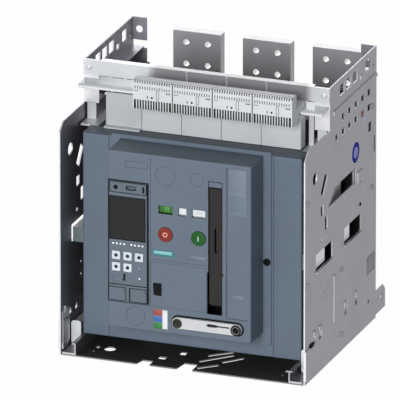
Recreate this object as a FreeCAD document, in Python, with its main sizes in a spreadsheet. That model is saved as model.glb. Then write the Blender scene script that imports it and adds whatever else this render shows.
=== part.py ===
"""Three-pole air circuit breaker of drawout type, in its guide frame.

Across is X, to the right as seen from the front. Depth runs along Y, from the operator's side to
the busbars, and is counted from the front edge of the side plates. Height is Z, from the
underside of the base. The origin is the middle of the base bolts, on the underside.
"""
import FreeCAD, Part
import math
import os
import Sketcher
from FreeCAD import Placement, Rotation, Vector

SIZES = {
    # Guide frame: side plates of zinc-plated sheet steel
    "frame_width": 454.0, "sheet": 2.5, "plate_depth": 365.0, "plate_height_drop": 79.0,
    "front_height_drop": 15.0, "front_chamfer": 18.0, "rise_depth": 125.0, "total_height": 505.0,
    "flange": 28.0, "shelf_flange": 22.0, "shelf_flange_height_drop": 56.0, "flange_gap": 14.0,
    "rear_flange_foot": 62.0, "screen_clearance": 0.3, "foot_tab_reach": 49.0, "foot_tab_low": 5.0,
    "foot_tab_high": 50.0, "foot_tab_corner": 12.0, "foot_hole_depth": 31.0,
    "foot_hole_height": 28.0, "foot_hole_radius": 5.5, "wall_hole_inset": 14.0,
    "wall_hole_height_drop": 22.0, "wall_hole_radius": 6.5,
    # Punched holes of the side plates
    "window_first_inset": 189.0, "window_pitch": 33.0, "window_width": 24.0,
    "window_low_drop": 31.0, "window_high_rise": 20.0, "louvre_first_inset": 211.0,
    "louvre_pitch": 33.0, "louvre_width": 14.0, "louvre_height": 12.0, "louvre_upper_drop": 74.0,
    "louvre_lower_drop": 27.5, "lug_window_low": 190.0, "lug_window_high": 222.0,
    "front_window_start": 55.0, "front_window_end": 140.0, "rear_window_start_inset": 165.0,
    "rear_window_end_behind": 87.0, "window_lip": 7.0, "long_window_start": 120.0,
    "long_window_end_inset": 105.0, "long_window_low_drop": 138.0, "long_window_high_rise": 27.0,
    "sight_hole_depth": 50.0, "sight_hole_height_drop": 62.0, "sight_hole_radius": 11.0,
    "cam_slot_width": 17.0, "cam_slot_top_depth": 108.0, "cam_slot_top_height_drop": 74.0,
    "cam_slot_low_depth": 86.0, "cam_slot_low_height_drop": 30.0, "bead_depth": 151.0,
    "bead_width": 12.0, "bead_low": 68.0, "bead_high": 153.0, "bead_rise": 2.0, "bump_width": 14.0,
    "bump_height": 76.0, "bump_first": 42.0, "bump_second": 71.0, "bump_third_inset": 165.0,
    "bump_fourth_inset": 109.0, "pad_start_inset": 98.0, "pad_end_behind": 28.0,
    "pad_low_drop": 143.0, "pad_high_rise": 19.0, "cam_step_height_drop": 142.0,
    "cam_end_height_drop": 174.0, "small_hole_radius": 4.0, "adjusting_hole_radius": 2.5,
    "corner_hole_inset": 17.0, "corner_hole_drop": 32.0,
    "edge_slot_start_inset": 41.0, "edge_slot_low_drop": 69.0, "rear_slot_inset": 7.0,
    "rear_slot_width": 6.0, "rear_slot_low_drop": 114.0, "rear_slot_tall": 30.0,
    "recess_end_inset": 5.0, "recess_length": 44.0, "recess_low": 94.0, "recess_high": 128.0,
    "recess_sheet": 1.5, "ridge_start": 143.0, "ridge_tall": 7.0, "clip_high": 62.0, "clip_low": 8.0,
    "clip_leg": 26.0, "clip_sheet": 2.0,
    # Base
    "bolt_spacing_x": 350.0, "bolt_spacing_y": 260.0, "bolt_radius": 4.5,
    "channel_inside_inset": 27.5, "channel_height": 24.0, "channel_sheet": 2.0, "channel_lip": 7.0,
    "rail_bed": 3.2, "drain_radius": 10.5, "base_slot_width": 8.0,
    # Pull-out rails
    "rail_inside_inset": 18.5, "rail_sheet": 3.0, "rail_height": 38.0, "rail_flange": 15.0,
    "rail_start": 48.0, "rail_end_inset": 40.0, "rail_tab_width": 18.0, "rail_tab_height": 43.0,
    "slide_gap": 0.3,
    # Cross rail and terminal shelf
    "rail_bar_height": 27.0, "rail_bar_sheet": 2.5, "rail_bar_lip": 12.0, "shelf_height_drop": 35.0,
    "shelf_sheet": 2.2, "shelf_front": 90.0, "shelf_back": 141.0, "shelf_drop": 6.0,
    "shelf_overhang": -2.0,
    # Secondary terminals
    "terminal_pitch": 73.5, "terminal_width": 73.0, "terminal_left": -109.0, "terminal_front": 50.0,
    "terminal_back": 82.0, "terminal_low_drop": 17.0, "terminal_high_rise": 35.5,
    "terminal_top": 22.0, "terminal_foot": 8.0, "comb_low_rise": 3.0, "comb_high_rise": 14.0,
    "comb_width": 1.9, "comb_pitch": 3.7, "comb_depth": 6.0, "entry_side": 2.2,
    "entry_first": 4.5, "entry_pitch": 9.0,
    "plug_front": 95.0, "plug_back": 118.0,
    "plug_gap": 0.5, "blank_left": -175.0, "blank_top_rise": 63.0, "blank_sheet": 3.0,
    "blank_ledge": 12.0,
    # Rear wall and main terminals
    "pole_pitch_inset": 58.0, "bar_width": 88.7, "bar_thick": 20.0, "bar_face_behind": 64.0,
    "bar_top_rise": 154.6, "upper_bar_height_drop": 87.0, "lower_bar_height": 158.0,
    "bar_bolt_spacing": 40.0, "bar_bolt_radius": 5.5, "bar_bolt_edge": 20.0,
    "blade_front_behind": 15.0, "wall_front_inset": 30.0, "wall_thick": 10.0, "wall_low": 30.0,
    "wall_high_rise": 28.0, "rib_reach": 15.0, "rib_thick": 5.0, "fit": 0.2,
    # Breaker housing
    "housing_half_inset": 36.5, "housing_front": 91.0, "housing_back_inset": 8.0,
    "housing_low": 22.0, "cover_half_inset": 22.5, "cover_low": 25.0, "cover_top_drop": 108.0,
    "cover_front": 51.0, "cover_wall": 3.0, "chamber_half": 50.0, "chamber_front": 125.0,
    "chamber_back_inset": 37.0, "chamber_low": 125.0, "chute_low_drop": 62.0,
    "chute_cap_front_inset": 5.0, "chute_cap_back_behind": 10.0, "chute_cap_half": 52.0,
    "chute_high_rise": 43.0, "chute_pitch": 12.5, "groove_half": 150.0, "groove_width": 4.0,
    "groove_deep": 2.0,
    "lug_reach_inset": 2.5, "lug_low_rise": 2.0, "lug_high_drop": 3.0, "front_lug_length": 58.0,
    "rear_lug_length": 40.0, "bracket_front": 92.0, "bracket_step": 125.0, "bracket_back": 175.0,
    "bracket_sheet": 3.0, "bracket_inset": 3.5, "bracket_width": 16.5, "bracket_gap": 0.5,
    "strip_wide": 9.0, "strip_thick": 4.0, "strip_tall": 58.0,
    "roller_radius": 6.0, "roller_reach_inset": 5.5, "roller_front": 160.0,
    "roller_back_inset": 22.0,
    # Main contacts
    "jaw_start_inset": 55.0, "jaw_end_inset": 10.0, "jaw_thick": 12.0, "jaw_half": 42.0,
    "carrier_thick": 8.0, "contact_clearance": 0.3, "finger_pitch": 14.0, "finger_slot": 2.0,
    "arm_pivot_depth_inset": 35.0, "arm_pivot_height": 178.0, "arm_half": 30.0, "arm_thick": 12.0,
    "arm_top_rise": 8.0, "arm_room": 11.1, "trunnion_radius": 5.0, "trunnion_length": 3.5,
    "running_fit": 0.05,
    # Operator panel
    "panel_half": 132.0, "panel_front": -13.0, "panel_low": 69.5, "panel_high_drop": 1.5,
    "panel_wall": 3.0, "panel_round": 3.0, "bezel_half": 147.0, "bezel_top_rise": 6.0,
    "bezel_low": 48.0, "bezel_proud": 3.0, "panel_gap": 0.3, "seam": 1.2, "seam_deep": 0.8,
    "button_radius": 13.25, "button_height": 252.0, "open_across": -25.3, "close_across": 35.6,
    "button_proud": 3.0, "button_travel": 4.0, "stem_radius": 5.0, "lever_left": 53.3,
    "lever_right": 79.5, "lever_slot_low": 115.0, "lever_slot_top_drop": 35.5,
    "lever_top_drop": 13.0, "lever_gap": 1.0, "lever_thick": 8.0, "lever_flush": 1.0,
    "lever_pivot_height": 134.0, "lever_pivot_depth": 4.0, "lever_boss_radius": 9.0,
    "lever_pin_radius": 4.0, "grip_slot_low": 229.5, "grip_slot_high": 271.5,
    "grip_slot_width": 3.0, "lever_flare": 2.0, "lever_flare_top": 192.0, "flag_rise": 44.5,
    "flag_high": 15.0, "flag_radius": 16.0, "flag_depth": 8.0, "axle_radius": 3.0,
    "contact_flag_left": -38.2, "contact_flag_right": -12.1, "ready_flag_left": -2.1,
    "ready_flag_right": 13.2, "spring_flag_left": 23.2, "spring_flag_right": 48.0,
    "flag_overlap": 1.5, "position_left": -47.6, "position_right": -21.7, "position_low": 76.0,
    "position_high": 112.0, "pointer_left": -31.0, "pointer_height": 2.0, "gate_left": -47.0,
    "gate_right": -33.0, "gate_low": 138.5, "gate_high": 160.0, "gate_proud": 3.0,
    "hatch_left": -54.7, "hatch_right": 50.0, "hatch_low": 117.0, "hatch_high": 199.0,
    "hatch_thick": 1.6,
    "knockout_drop": 35.9, "knockout_rise": 25.1, "tag_left": -99.8, "tag_right": -57.3,
    "tag_drop": 28.3, "tag_tall": 12.3, "seam_across": 87.2, "seam_rise": 42.5, "seam_drop": 7.5,
    "seam_end": 6.0, "label_left": 90.5, "label_right": 123.8, "label_drop": 8.5,
    "label_tall": 86.0, "label_deep": 0.5, "small_label_left": 96.5, "small_label_right": 119.2,
    "small_label_low": 147.0, "small_label_high": 156.0, "latch_across": 139.5,
    "latch_height": 201.0, "latch_radius": 4.0,
    # Trip unit
    "unit_left": -131.7, "unit_right": -57.3, "unit_low": 118.0, "unit_high": 341.2,
    "unit_back": 45.0, "unit_slab": 24.0, "unit_gap": 1.2, "unit_flush": 0.4, "display_right": -62.1,
    "display_low": 232.0, "display_high": 312.0, "key_side": 15.0, "key_gap": 0.3, "key_proud": 1.5,
    "key_first_across": -116.3, "key_pitch": 21.2, "key_first_height": 203.4, "key_length": 6.0,
    "strip_left": -128.0, "strip_right": -60.0, "strip_low": 319.0, "strip_high": 338.0,
    "unit_cover_low": 120.0, "unit_cover_high": 144.0, "unit_cover_width": 32.0,
    # Crank
    "hub_across": 106.7, "hub_height": 93.5, "hub_radius": 10.4, "crank_reach": 108.0,
    "knob_radius": 8.8, "arm_start": -13.7, "arm_sheet": 5.0, "knob_proud": 3.2,
    "crank_pin_radius": 3.0, "spindle_radius": 6.0, "spindle_back": 60.0, "bush_radius": 11.0,
    "recess_gap": 2.5, "recess_deep": 1.0,
    # Mechanism
    "side_left": -50.0, "side_right": 84.0, "side_sheet": 4.0, "side_back": 90.5, "side_low": 84.0,
    "side_rise": 33.5, "shaft_height": 190.0, "shaft_depth": 60.0, "shaft_radius": 8.0,
    "ratchet_radius": 24.0, "ratchet_width": 8.0, "ratchet_across": 66.0, "ratchet_teeth": 20,
    "tooth_deep": 3.0, "main_height": 112.0, "main_depth": 76.0, "main_radius": 11.0,
    "main_half_inset": 20.0, "crank_lever": 20.0, "spring_radius": 15.0, "spring_wire": 4.0,
    "spring_across": 15.0, "spring_turns": 6, "tie_radius": 5.0, "tie_height": 318.0,
    # Fasteners
    "rivet_radius": 5.0, "rivet_high": 3.0, "screw_radius": 5.0, "screw_high": 3.0,
}

# Sizes that follow from the driving ones, in the order in which they are worked out
TIED = {
    "half_width": "frame_width / 2",
    "plate_inside": "half_width - sheet",
    "plate_height": "total_height - plate_height_drop",
    "front_height": "plate_height - front_height_drop",
    "shelf_flange_height": "total_height - shelf_flange_height_drop",
    "wall_hole_height": "total_height - wall_hole_height_drop",
    "window_low": "total_height - window_low_drop",
    "window_high": "window_low + window_high_rise",
    "louvre_upper": "total_height - louvre_upper_drop",
    "louvre_lower": "louvre_upper - louvre_lower_drop",
    "sight_hole_height": "plate_height - sight_hole_height_drop",
    "cam_slot_top_height": "plate_height - cam_slot_top_height_drop",
    "cam_slot_low_height": "cam_slot_top_height - cam_slot_low_height_drop",
    "cam_step_height": "plate_height - cam_step_height_drop",
    "cam_end_height": "plate_height - cam_end_height_drop",
    "long_window_low": "plate_height - long_window_low_drop",
    "long_window_high": "long_window_low + long_window_high_rise",
    "pad_low": "plate_height - pad_low_drop",
    "pad_high": "pad_low + pad_high_rise",
    "edge_slot_low": "plate_height - edge_slot_low_drop",
    "rear_slot_low": "plate_height - rear_slot_low_drop",
    "shelf_height": "total_height - shelf_height_drop",
    "terminal_low": "shelf_height - terminal_low_drop",
    "terminal_high": "shelf_height + terminal_high_rise",
    "comb_low": "terminal_low + comb_low_rise",
    "comb_high": "comb_low + comb_high_rise",
    "cover_top": "total_height - cover_top_drop",
    "chute_high": "cover_top + chute_high_rise",
    "chute_low": "cover_top - chute_low_drop",
    "wall_high": "cover_top + wall_high_rise",
    "blank_top": "cover_top + blank_top_rise",
    "upper_bar_height": "cover_top - upper_bar_height_drop",
    "bar_top": "upper_bar_height + bar_top_rise",
    "arm_top": "upper_bar_height + arm_top_rise",
    "panel_high": "cover_top - panel_high_drop",
    "bezel_top": "cover_top + bezel_top_rise",
    "flag_height": "button_height + flag_rise",
    "side_high": "flag_height + side_rise",
    "lever_slot_top": "panel_high - lever_slot_top_drop",
    "lever_top": "lever_slot_top - lever_top_drop",
    "lug_low": "lug_window_low + lug_low_rise",
    "lug_high": "lug_window_high - lug_high_drop",
    "channel_inside": "plate_inside - channel_inside_inset",
    "rail_inside": "plate_inside - rail_inside_inset",
    "cover_half": "plate_inside - cover_half_inset",
    "housing_half": "plate_inside - housing_half_inset",
    "lug_reach": "plate_inside - lug_reach_inset",
    "bracket_reach": "plate_inside - bracket_inset",
    "roller_reach": "plate_inside - roller_reach_inset",
    "main_half": "housing_half - main_half_inset",
    "pole_pitch": "housing_half - pole_pitch_inset",
    "wall_front": "plate_depth - wall_front_inset",
    "jaw_end": "wall_front - jaw_end_inset",
    "jaw_start": "jaw_end - jaw_start_inset",
    "blade_front": "jaw_start + blade_front_behind",
    "housing_back": "jaw_start - housing_back_inset",
    "chamber_back": "housing_back - chamber_back_inset",
    "chute_cap_back": "chamber_back + chute_cap_back_behind",
    "arm_pivot_depth": "chamber_back - arm_pivot_depth_inset",
    "roller_back": "housing_back - roller_back_inset",
    "bar_face": "plate_depth + bar_face_behind",
    "rail_end": "plate_depth - rail_end_inset",
    "window_first": "plate_depth - window_first_inset",
    "louvre_first": "plate_depth - louvre_first_inset",
    "rear_window_start": "plate_depth - rear_window_start_inset",
    "rear_window_end": "rear_window_start + rear_window_end_behind",
    "long_window_end": "plate_depth - long_window_end_inset",
    "bump_third": "plate_depth - bump_third_inset",
    "bump_fourth": "plate_depth - bump_fourth_inset",
    "pad_start": "plate_depth - pad_start_inset",
    "pad_end": "pad_start + pad_end_behind",
    "edge_slot_start": "plate_depth - edge_slot_start_inset",
    "rear_slot_end": "plate_depth - rear_slot_inset",
    "recess_end": "plate_depth - recess_end_inset",
    "chute_cap_front": "chamber_front - chute_cap_front_inset",
}

# Depth and height of the plain holes and the rivets that show in the side plates
SMALL_HOLES = ((82, 241), (283, 239))
RIVETS = ((14, 180), (14, 330), (190, 150), (190, 30))
# The same, with the depth counted forwards from the rear edge, and for the rivets the drop from
# the top of the front part
REAR_HOLES = ((38, 43),)
REAR_RIVETS = ((20, 176), (20, 26))
ADJUSTING_HOLES = ((118, 151), (100, 139), (116, 127), (100, 116))


class Size:
    """A length of the sheet, or one worked out from several: its formula and its value."""

    def __init__(self, text, value):
        self.text = text
        self.value = value

    def joined(self, sign, other, value):
        return Size(f"({self.text} {sign} {other.text})", value)

    def __add__(self, other):
        return self.joined("+", size(other), self.value + size(other).value)

    def __sub__(self, other):
        return self.joined("-", size(other), self.value - size(other).value)

    def __mul__(self, other):
        return self.joined("*", size(other), self.value * size(other).value)

    def __truediv__(self, other):
        return self.joined("/", size(other), self.value / size(other).value)

    def __radd__(self, other):
        return size(other) + self

    def __rsub__(self, other):
        return size(other) - self

    def __rmul__(self, other):
        return size(other) * self

    def __neg__(self):
        return Size(f"(0 - {self.text})", -self.value)

    def __float__(self):
        return float(self.value)

    def __int__(self):
        return int(self.value)


def size(value):
    """Any plain number as a Size."""
    if isinstance(value, Size):
        return value
    return Size(repr(float(value)) if value >= 0 else f"(0 - {abs(float(value))!r})", float(value))


doc = FreeCAD.newDocument("DrawoutBreaker")
table = doc.addObject("Spreadsheet::Sheet", "Sizes")


class Sheet:
    """The driving dimensions, each as an attribute that bears its alias."""


s = Sheet()
contents = [(alias, str(number)) for alias, number in SIZES.items()]
contents += [(alias, "=" + formula) for alias, formula in TIED.items()]
for row, (alias, content) in enumerate(contents, start=1):
    table.set(f"A{row}", alias)
    table.set(f"B{row}", content)
    table.setAlias(f"B{row}", alias)
doc.recompute()
for alias, content in contents:
    setattr(s, alias, Size(f"Sizes.{alias}", float(table.get(alias))))

half_depth = s.plate_depth / 2
plate_out = s.half_width
plate_in = s.plate_inside
wall = s.panel_wall
pole_places = [-s.pole_pitch, size(0), s.pole_pitch]
nodes = {}


def bind(thing, place, value):
    """Ties one property to the sheet."""
    value = size(value)
    thing.setExpression(place, value.text)


def keep(name, thing):
    """Names a finished sub-part."""
    thing.Label = name
    nodes[name] = thing
    return thing


def box(name, low, high):
    """A block between two corners, each given as across, depth and height."""
    solid = doc.addObject("Part::Box", name)
    low = (size(low[0]), size(low[1]) - half_depth, size(low[2]))
    high = (size(high[0]), size(high[1]) - half_depth, size(high[2]))
    for side, axis, start, end in zip(("Length", "Width", "Height"), "xyz", low, high):
        bind(solid, side, end - start)
        bind(solid, f"Placement.Base.{axis}", start)
    return solid


def side_box(name, side, low, high):
    """A block on the right, or mirrored to the left when side is -1."""
    if side > 0:
        return box(name, low, high)
    return box(name, (-size(high[0]), low[1], low[2]), (-size(low[0]), high[1], high[2]))


TURN = {"x": Rotation(Vector(0, 1, 0), 90), "y": Rotation(Vector(1, 0, 0), -90),
        "z": Rotation()}


def rod(name, axis, start, length, radius):
    """A round bar along an axis from its start point."""
    solid = doc.addObject("Part::Cylinder", name)
    solid.Placement = Placement(Vector(), TURN[axis])
    bind(solid, "Radius", radius)
    bind(solid, "Height", length)
    place = (size(start[0]), size(start[1]) - half_depth, size(start[2]))
    for letter, value in zip("xyz", place):
        bind(solid, f"Placement.Base.{letter}", value)
    return solid


def side_rod(name, side, start, length, radius):
    """A round bar along X from a point on the right, or its mirror image on the left."""
    across = size(start[0]) if side > 0 else -size(start[0]) - length
    return rod(name, "x", (across, start[1], start[2]), length, radius)


def fuse(name, pieces):
    if len(pieces) == 1:
        return pieces[0]
    joined = doc.addObject("Part::MultiFuse", name)
    joined.Shapes = pieces
    return joined


def cut(name, base, tools):
    result = doc.addObject("Part::Cut", name)
    result.Base = base
    result.Tool = fuse(name + "_tools", tools)
    return result


def group(name, pieces):
    """Separate solids kept as one sub-part."""
    together = doc.addObject("Part::Compound", name)
    together.Links = pieces
    return together


def rounded(name, base, radius, chosen):
    """Rounds those edges of a solid for which the test chosen holds."""
    doc.recompute()
    edges = [i for i, edge in enumerate(base.Shape.Edges, start=1) if chosen(edge)]
    result = doc.addObject("Part::Fillet", name)
    result.Base = base
    result.Edges = [(i, float(radius), float(radius)) for i in edges]
    return result


def chamfered_rod(name, start, length, radius, chamfer):
    """A round bar along Y whose front edge is chamfered."""
    across, depth, height = start
    body = rod(name + "_bar", "y", (across, depth + chamfer, height), length - chamfer, radius)
    nose = doc.addObject("Part::Cone", name + "_nose")
    nose.Placement = Placement(Vector(), TURN["y"])
    bind(nose, "Radius1", radius - chamfer)
    bind(nose, "Radius2", radius)
    bind(nose, "Height", chamfer)
    place(nose, across, depth, height)
    return fuse(name, [nose, body])


def place(thing, across, depth, height):
    """Ties the place of a sub-part to the sheet."""
    bind(thing, "Placement.Base.x", across)
    bind(thing, "Placement.Base.y", size(depth) - half_depth)
    bind(thing, "Placement.Base.z", height)


def runs_along(edge, axis):
    """Whether a straight edge runs along one axis: 0 is X, 1 is Y and 2 is Z."""
    if len(edge.Vertexes) != 2 or not isinstance(edge.Curve, Part.Line):
        return False
    way = edge.Vertexes[1].Point - edge.Vertexes[0].Point
    return abs(abs(way[axis]) - way.Length) < 1e-6


def origin_plane(body, role):
    return [item for item in body.Origin.OriginFeatures if item.Role == role][0]


def new_sketch(body, name, role):
    sketch = body.newObject("Sketcher::SketchObject", name)
    sketch.AttachmentSupport = [(origin_plane(body, role), "")]
    sketch.MapMode = "FlatFace"
    return sketch


def holds(item, end, point):
    """What holds one point of a sketch at distances from the origin that the sheet gives."""
    found = []
    for kind, axis, value in zip(("DistanceX", "DistanceY"), (-2, -1), point):
        value = size(value)
        if abs(float(value)) < 1e-9:
            found.append((Sketcher.Constraint("PointOnObject", item, end, axis), None))
        else:
            found.append((Sketcher.Constraint(kind, -1, 1, item, end, float(value)), value))
    return found


def constrain(sketch, found):
    """Adds constraints in one go and ties their values to the sheet."""
    first = sketch.ConstraintCount
    sketch.addConstraint([constraint for constraint, _ in found])
    for number, (_, value) in enumerate(found, start=first):
        if value is not None:
            sketch.setExpression(f"Constraints[{number}]", value.text)


def outline(sketch, points):
    """A closed run of straight lines through points of the sheet."""
    places = [Vector(float(size(p[0])), float(size(p[1])), 0) for p in points]
    first = sketch.GeometryCount
    lines = [Part.LineSegment(start, end)
             for start, end in zip(places, places[1:] + places[:1])]
    sketch.addGeometry(lines, False)
    found = []
    for step, point in enumerate(points):
        after = first + (step + 1) % len(points)
        found.append((Sketcher.Constraint("Coincident", first + step, 2, after, 1), None))
        found += holds(first + step, 1, point)
    constrain(sketch, found)


def rectangle(sketch, low, high):
    outline(sketch, [low, (high[0], low[1]), high, (low[0], high[1])])


def circle(sketch, centre, radius):
    radius = size(radius)
    middle = Vector(float(size(centre[0])), float(size(centre[1])), 0)
    item = sketch.addGeometry(Part.Circle(middle, Vector(0, 0, 1), float(radius)), False)
    found = [(Sketcher.Constraint("Radius", item, float(radius)), radius)]
    constrain(sketch, found + holds(item, 3, centre))


def sloped_slot(sketch, start, end, width):
    """A straight-ended slot between two points, at any slope."""
    run = Vector(float(end[0] - start[0]), float(end[1] - start[1]), 0)
    shift = float(width) / 2 / run.Length
    across = Vector(-run.y, run.x, 0) * shift
    corners = [(start, across), (start, -across), (end, -across), (end, across)]
    outline(sketch, [(point[0] + off.x, point[1] + off.y) for point, off in corners])


def pad(body, sketch, length):
    """Grows a sketch by a length along its normal."""
    feature = body.newObject("PartDesign::Pad", sketch.Name + "_pad")
    feature.Profile = sketch
    bind(feature, "Length", length)
    return feature


def pocket(body, sketch, depth=None):
    """Cuts a sketch both ways through the body, or one way to a depth."""
    feature = body.newObject("PartDesign::Pocket", sketch.Name + "_pocket")
    feature.Profile = sketch
    if depth is None:
        feature.Type = "ThroughAll"
        feature.Midplane = True
    else:
        bind(feature, "Length", depth)
    return feature


def side_plates():
    """The punched and flanged side plates: the right one, and the left as its mirror image."""
    name = "side_plate_right"
    blank = doc.addObject("PartDesign::Body", name + "_blank")
    tab_back = s.plate_depth + s.foot_tab_reach
    shape = new_sketch(blank, name + "_outline", "YZ_Plane")
    outline(shape, [(a - half_depth, b) for a, b in [
        (size(0), size(0)), (s.plate_depth, size(0)), (s.plate_depth, s.foot_tab_low),
        (tab_back, s.foot_tab_low), (tab_back, s.foot_tab_high - s.foot_tab_corner),
        (tab_back - s.foot_tab_corner, s.foot_tab_high), (s.plate_depth, s.foot_tab_high),
        (s.plate_depth, s.total_height), (s.rise_depth, s.total_height),
        (s.rise_depth, s.plate_height), (s.front_chamfer, s.plate_height),
        (size(0), s.front_height)]])
    pad(blank, shape, s.sheet)
    punched(blank, name)
    bind(blank, "Placement.Base.x", plate_in)
    screen_top = s.shelf_flange_height + s.flange_gap
    rear = s.plate_depth
    inner = plate_out - s.flange
    shelf_in = plate_out - s.shelf_flange
    shelf_low = s.shelf_height - s.shelf_sheet - s.screen_clearance
    shelf_high = s.shelf_height + s.screen_clearance
    flanges = [
        ((inner, rear - s.sheet, s.rear_flange_foot), (plate_in, rear, s.shelf_flange_height)),
        ((inner, rear - s.sheet, screen_top), (plate_in, rear, s.total_height)),
        ((shelf_in, s.rise_depth, s.shelf_flange_height),
         (plate_in, rear, s.shelf_flange_height + s.sheet)),
        ((inner, s.rise_depth, s.plate_height), (plate_in, s.rise_depth + s.sheet, shelf_low)),
        ((inner, s.rise_depth, shelf_high),
         (plate_in, s.rise_depth + s.sheet, s.total_height))]
    lip = s.window_lip
    for start, end in ((s.front_window_start, s.front_window_end),
                       (s.rear_window_start, s.rear_window_end)):
        flanges.append(((plate_out, start, s.lug_window_low - s.sheet),
                        (plate_out + s.rivet_high, end, s.lug_window_low)))
    flanges += [
        ((plate_out, s.bead_depth - s.bead_width / 2, s.bead_low),
         (plate_out + s.bead_rise, s.bead_depth + s.bead_width / 2, s.bead_high)),
        ((plate_out, s.pad_start, s.pad_low), (plate_out + s.bead_rise, s.pad_end, s.pad_high)),
        ((plate_out, s.ridge_start, s.shelf_flange_height),
         (plate_out + s.bead_rise, rear, s.shelf_flange_height + s.ridge_tall)),
        ((plate_out, 0, s.clip_low), (plate_out + s.clip_sheet, s.clip_leg, s.clip_high)),
        ((plate_in - s.clip_sheet, lip, s.clip_low),
         (plate_in, s.clip_leg + lip, s.clip_high))]
    for depth in (s.bump_first, s.bump_second, s.bump_third, s.bump_fourth):
        flanges.append(((plate_out, depth, s.bump_height),
                        (plate_out + s.bead_rise, depth + s.bump_width, s.bump_height + 9)))
    pieces = [box(f"{name}_flange_{i}", low, high)
              for i, (low, high) in enumerate(flanges)]
    whole = fuse(name + "_whole", [blank] + pieces)
    hole = rod(name + "_wall_hole", "y",
               (plate_out - s.wall_hole_inset, rear - 2 * s.sheet, s.wall_hole_height),
               3 * s.sheet, s.wall_hole_radius)
    stamped = box(name + "_recess", (plate_out - s.sheet + s.recess_sheet,
                                     s.recess_end - s.recess_length, s.recess_low),
                  (plate_out + 1, s.recess_end, s.recess_high))
    right = keep(name, cut(name, whole, [hole, stamped]))
    left = doc.addObject("Part::Mirroring", "side_plate_left")
    left.Source = right
    left.Normal = Vector(1, 0, 0)
    keep("side_plate_left", left)


def window(sketch, start, low, end, high):
    """A rectangular hole in a side plate, by depth and height."""
    rectangle(sketch, (start - half_depth, low), (end - half_depth, high))


def round_hole(sketch, depth, height, radius):
    """A round hole in a side plate, by depth and height."""
    circle(sketch, (size(depth) - half_depth, height), radius)


def punched(blank, name):
    """Punches a side plate in five strokes: vents, louvres, windows, cam slots and small holes."""
    vents = new_sketch(blank, name + "_vents", "YZ_Plane")
    for step in (0, 1, 2, 4):
        start = s.window_first + s.window_pitch * step
        window(vents, start, s.window_low, start + s.window_width, s.window_high)
    small = s.window_first + s.window_pitch * 3 + 5
    window(vents, small, s.window_low - 5, small + s.louvre_width, s.window_low + 5)
    pocket(blank, vents)

    for first, height in ((1, s.louvre_upper), (0, s.louvre_lower)):
        louvres = new_sketch(blank, f"{name}_louvres_{first}", "YZ_Plane")
        for step in range(first, 6):
            start = s.louvre_first + s.louvre_pitch * step
            window(louvres, start, height - s.louvre_height / 2,
                   start + s.louvre_width, height + s.louvre_height / 2)
        pocket(blank, louvres)

    windows = new_sketch(blank, name + "_windows", "YZ_Plane")
    window(windows, s.front_window_start, s.lug_window_low,
           s.front_window_end, s.lug_window_high)
    window(windows, s.rear_window_start, s.lug_window_low,
           s.rear_window_end, s.lug_window_high)
    taper = s.long_window_start + (s.long_window_high - s.long_window_low)
    outline(windows, [(a - half_depth, b) for a, b in [
        (s.long_window_start, s.long_window_low), (s.long_window_end, s.long_window_low),
        (s.long_window_end, s.long_window_high), (taper, s.long_window_high),
        (s.long_window_start, s.long_window_low + 6)]])
    round_hole(windows, s.sight_hole_depth, s.sight_hole_height, s.sight_hole_radius)
    window(windows, s.edge_slot_start, s.edge_slot_low, s.edge_slot_start + 14,
           s.edge_slot_low + 18)
    window(windows, s.rear_slot_end - s.rear_slot_width, s.rear_slot_low, s.rear_slot_end,
           s.rear_slot_low + s.rear_slot_tall)
    pocket(blank, windows)

    cams = new_sketch(blank, name + "_cams", "YZ_Plane")
    top = s.cam_slot_top_depth
    low = s.cam_slot_low_depth
    sloped_slot(cams, (top - half_depth, s.cam_slot_top_height),
                (low - half_depth, s.cam_slot_low_height), s.cam_slot_width)
    window(cams, low - 6, s.cam_step_height, low + 8, s.cam_step_height + 18)
    window(cams, top - 7, s.cam_end_height, top + 7, s.cam_end_height + 24)
    for depth in (s.bump_first, s.bump_second, s.bump_third, s.bump_fourth):
        foot = s.bump_height - 16
        outline(cams, [(depth - half_depth, foot), (depth + s.bump_width - half_depth, foot),
                       (depth + s.bump_width / 2 - half_depth, s.bump_height - 4)])
    pocket(blank, cams)

    small_holes = new_sketch(blank, name + "_small_holes", "YZ_Plane")
    for depth, height in SMALL_HOLES:
        round_hole(small_holes, depth, height, s.small_hole_radius)
    for inset, height in REAR_HOLES:
        round_hole(small_holes, s.plate_depth - inset, height, s.small_hole_radius)
    round_hole(small_holes, s.plate_depth - s.corner_hole_inset,
               s.total_height - s.corner_hole_drop, s.small_hole_radius)
    for depth, height in ADJUSTING_HOLES:
        round_hole(small_holes, depth, height, s.adjusting_hole_radius)
    round_hole(small_holes, s.plate_depth + s.foot_hole_depth, s.foot_hole_height,
               s.foot_hole_radius)
    pocket(blank, small_holes)


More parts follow.
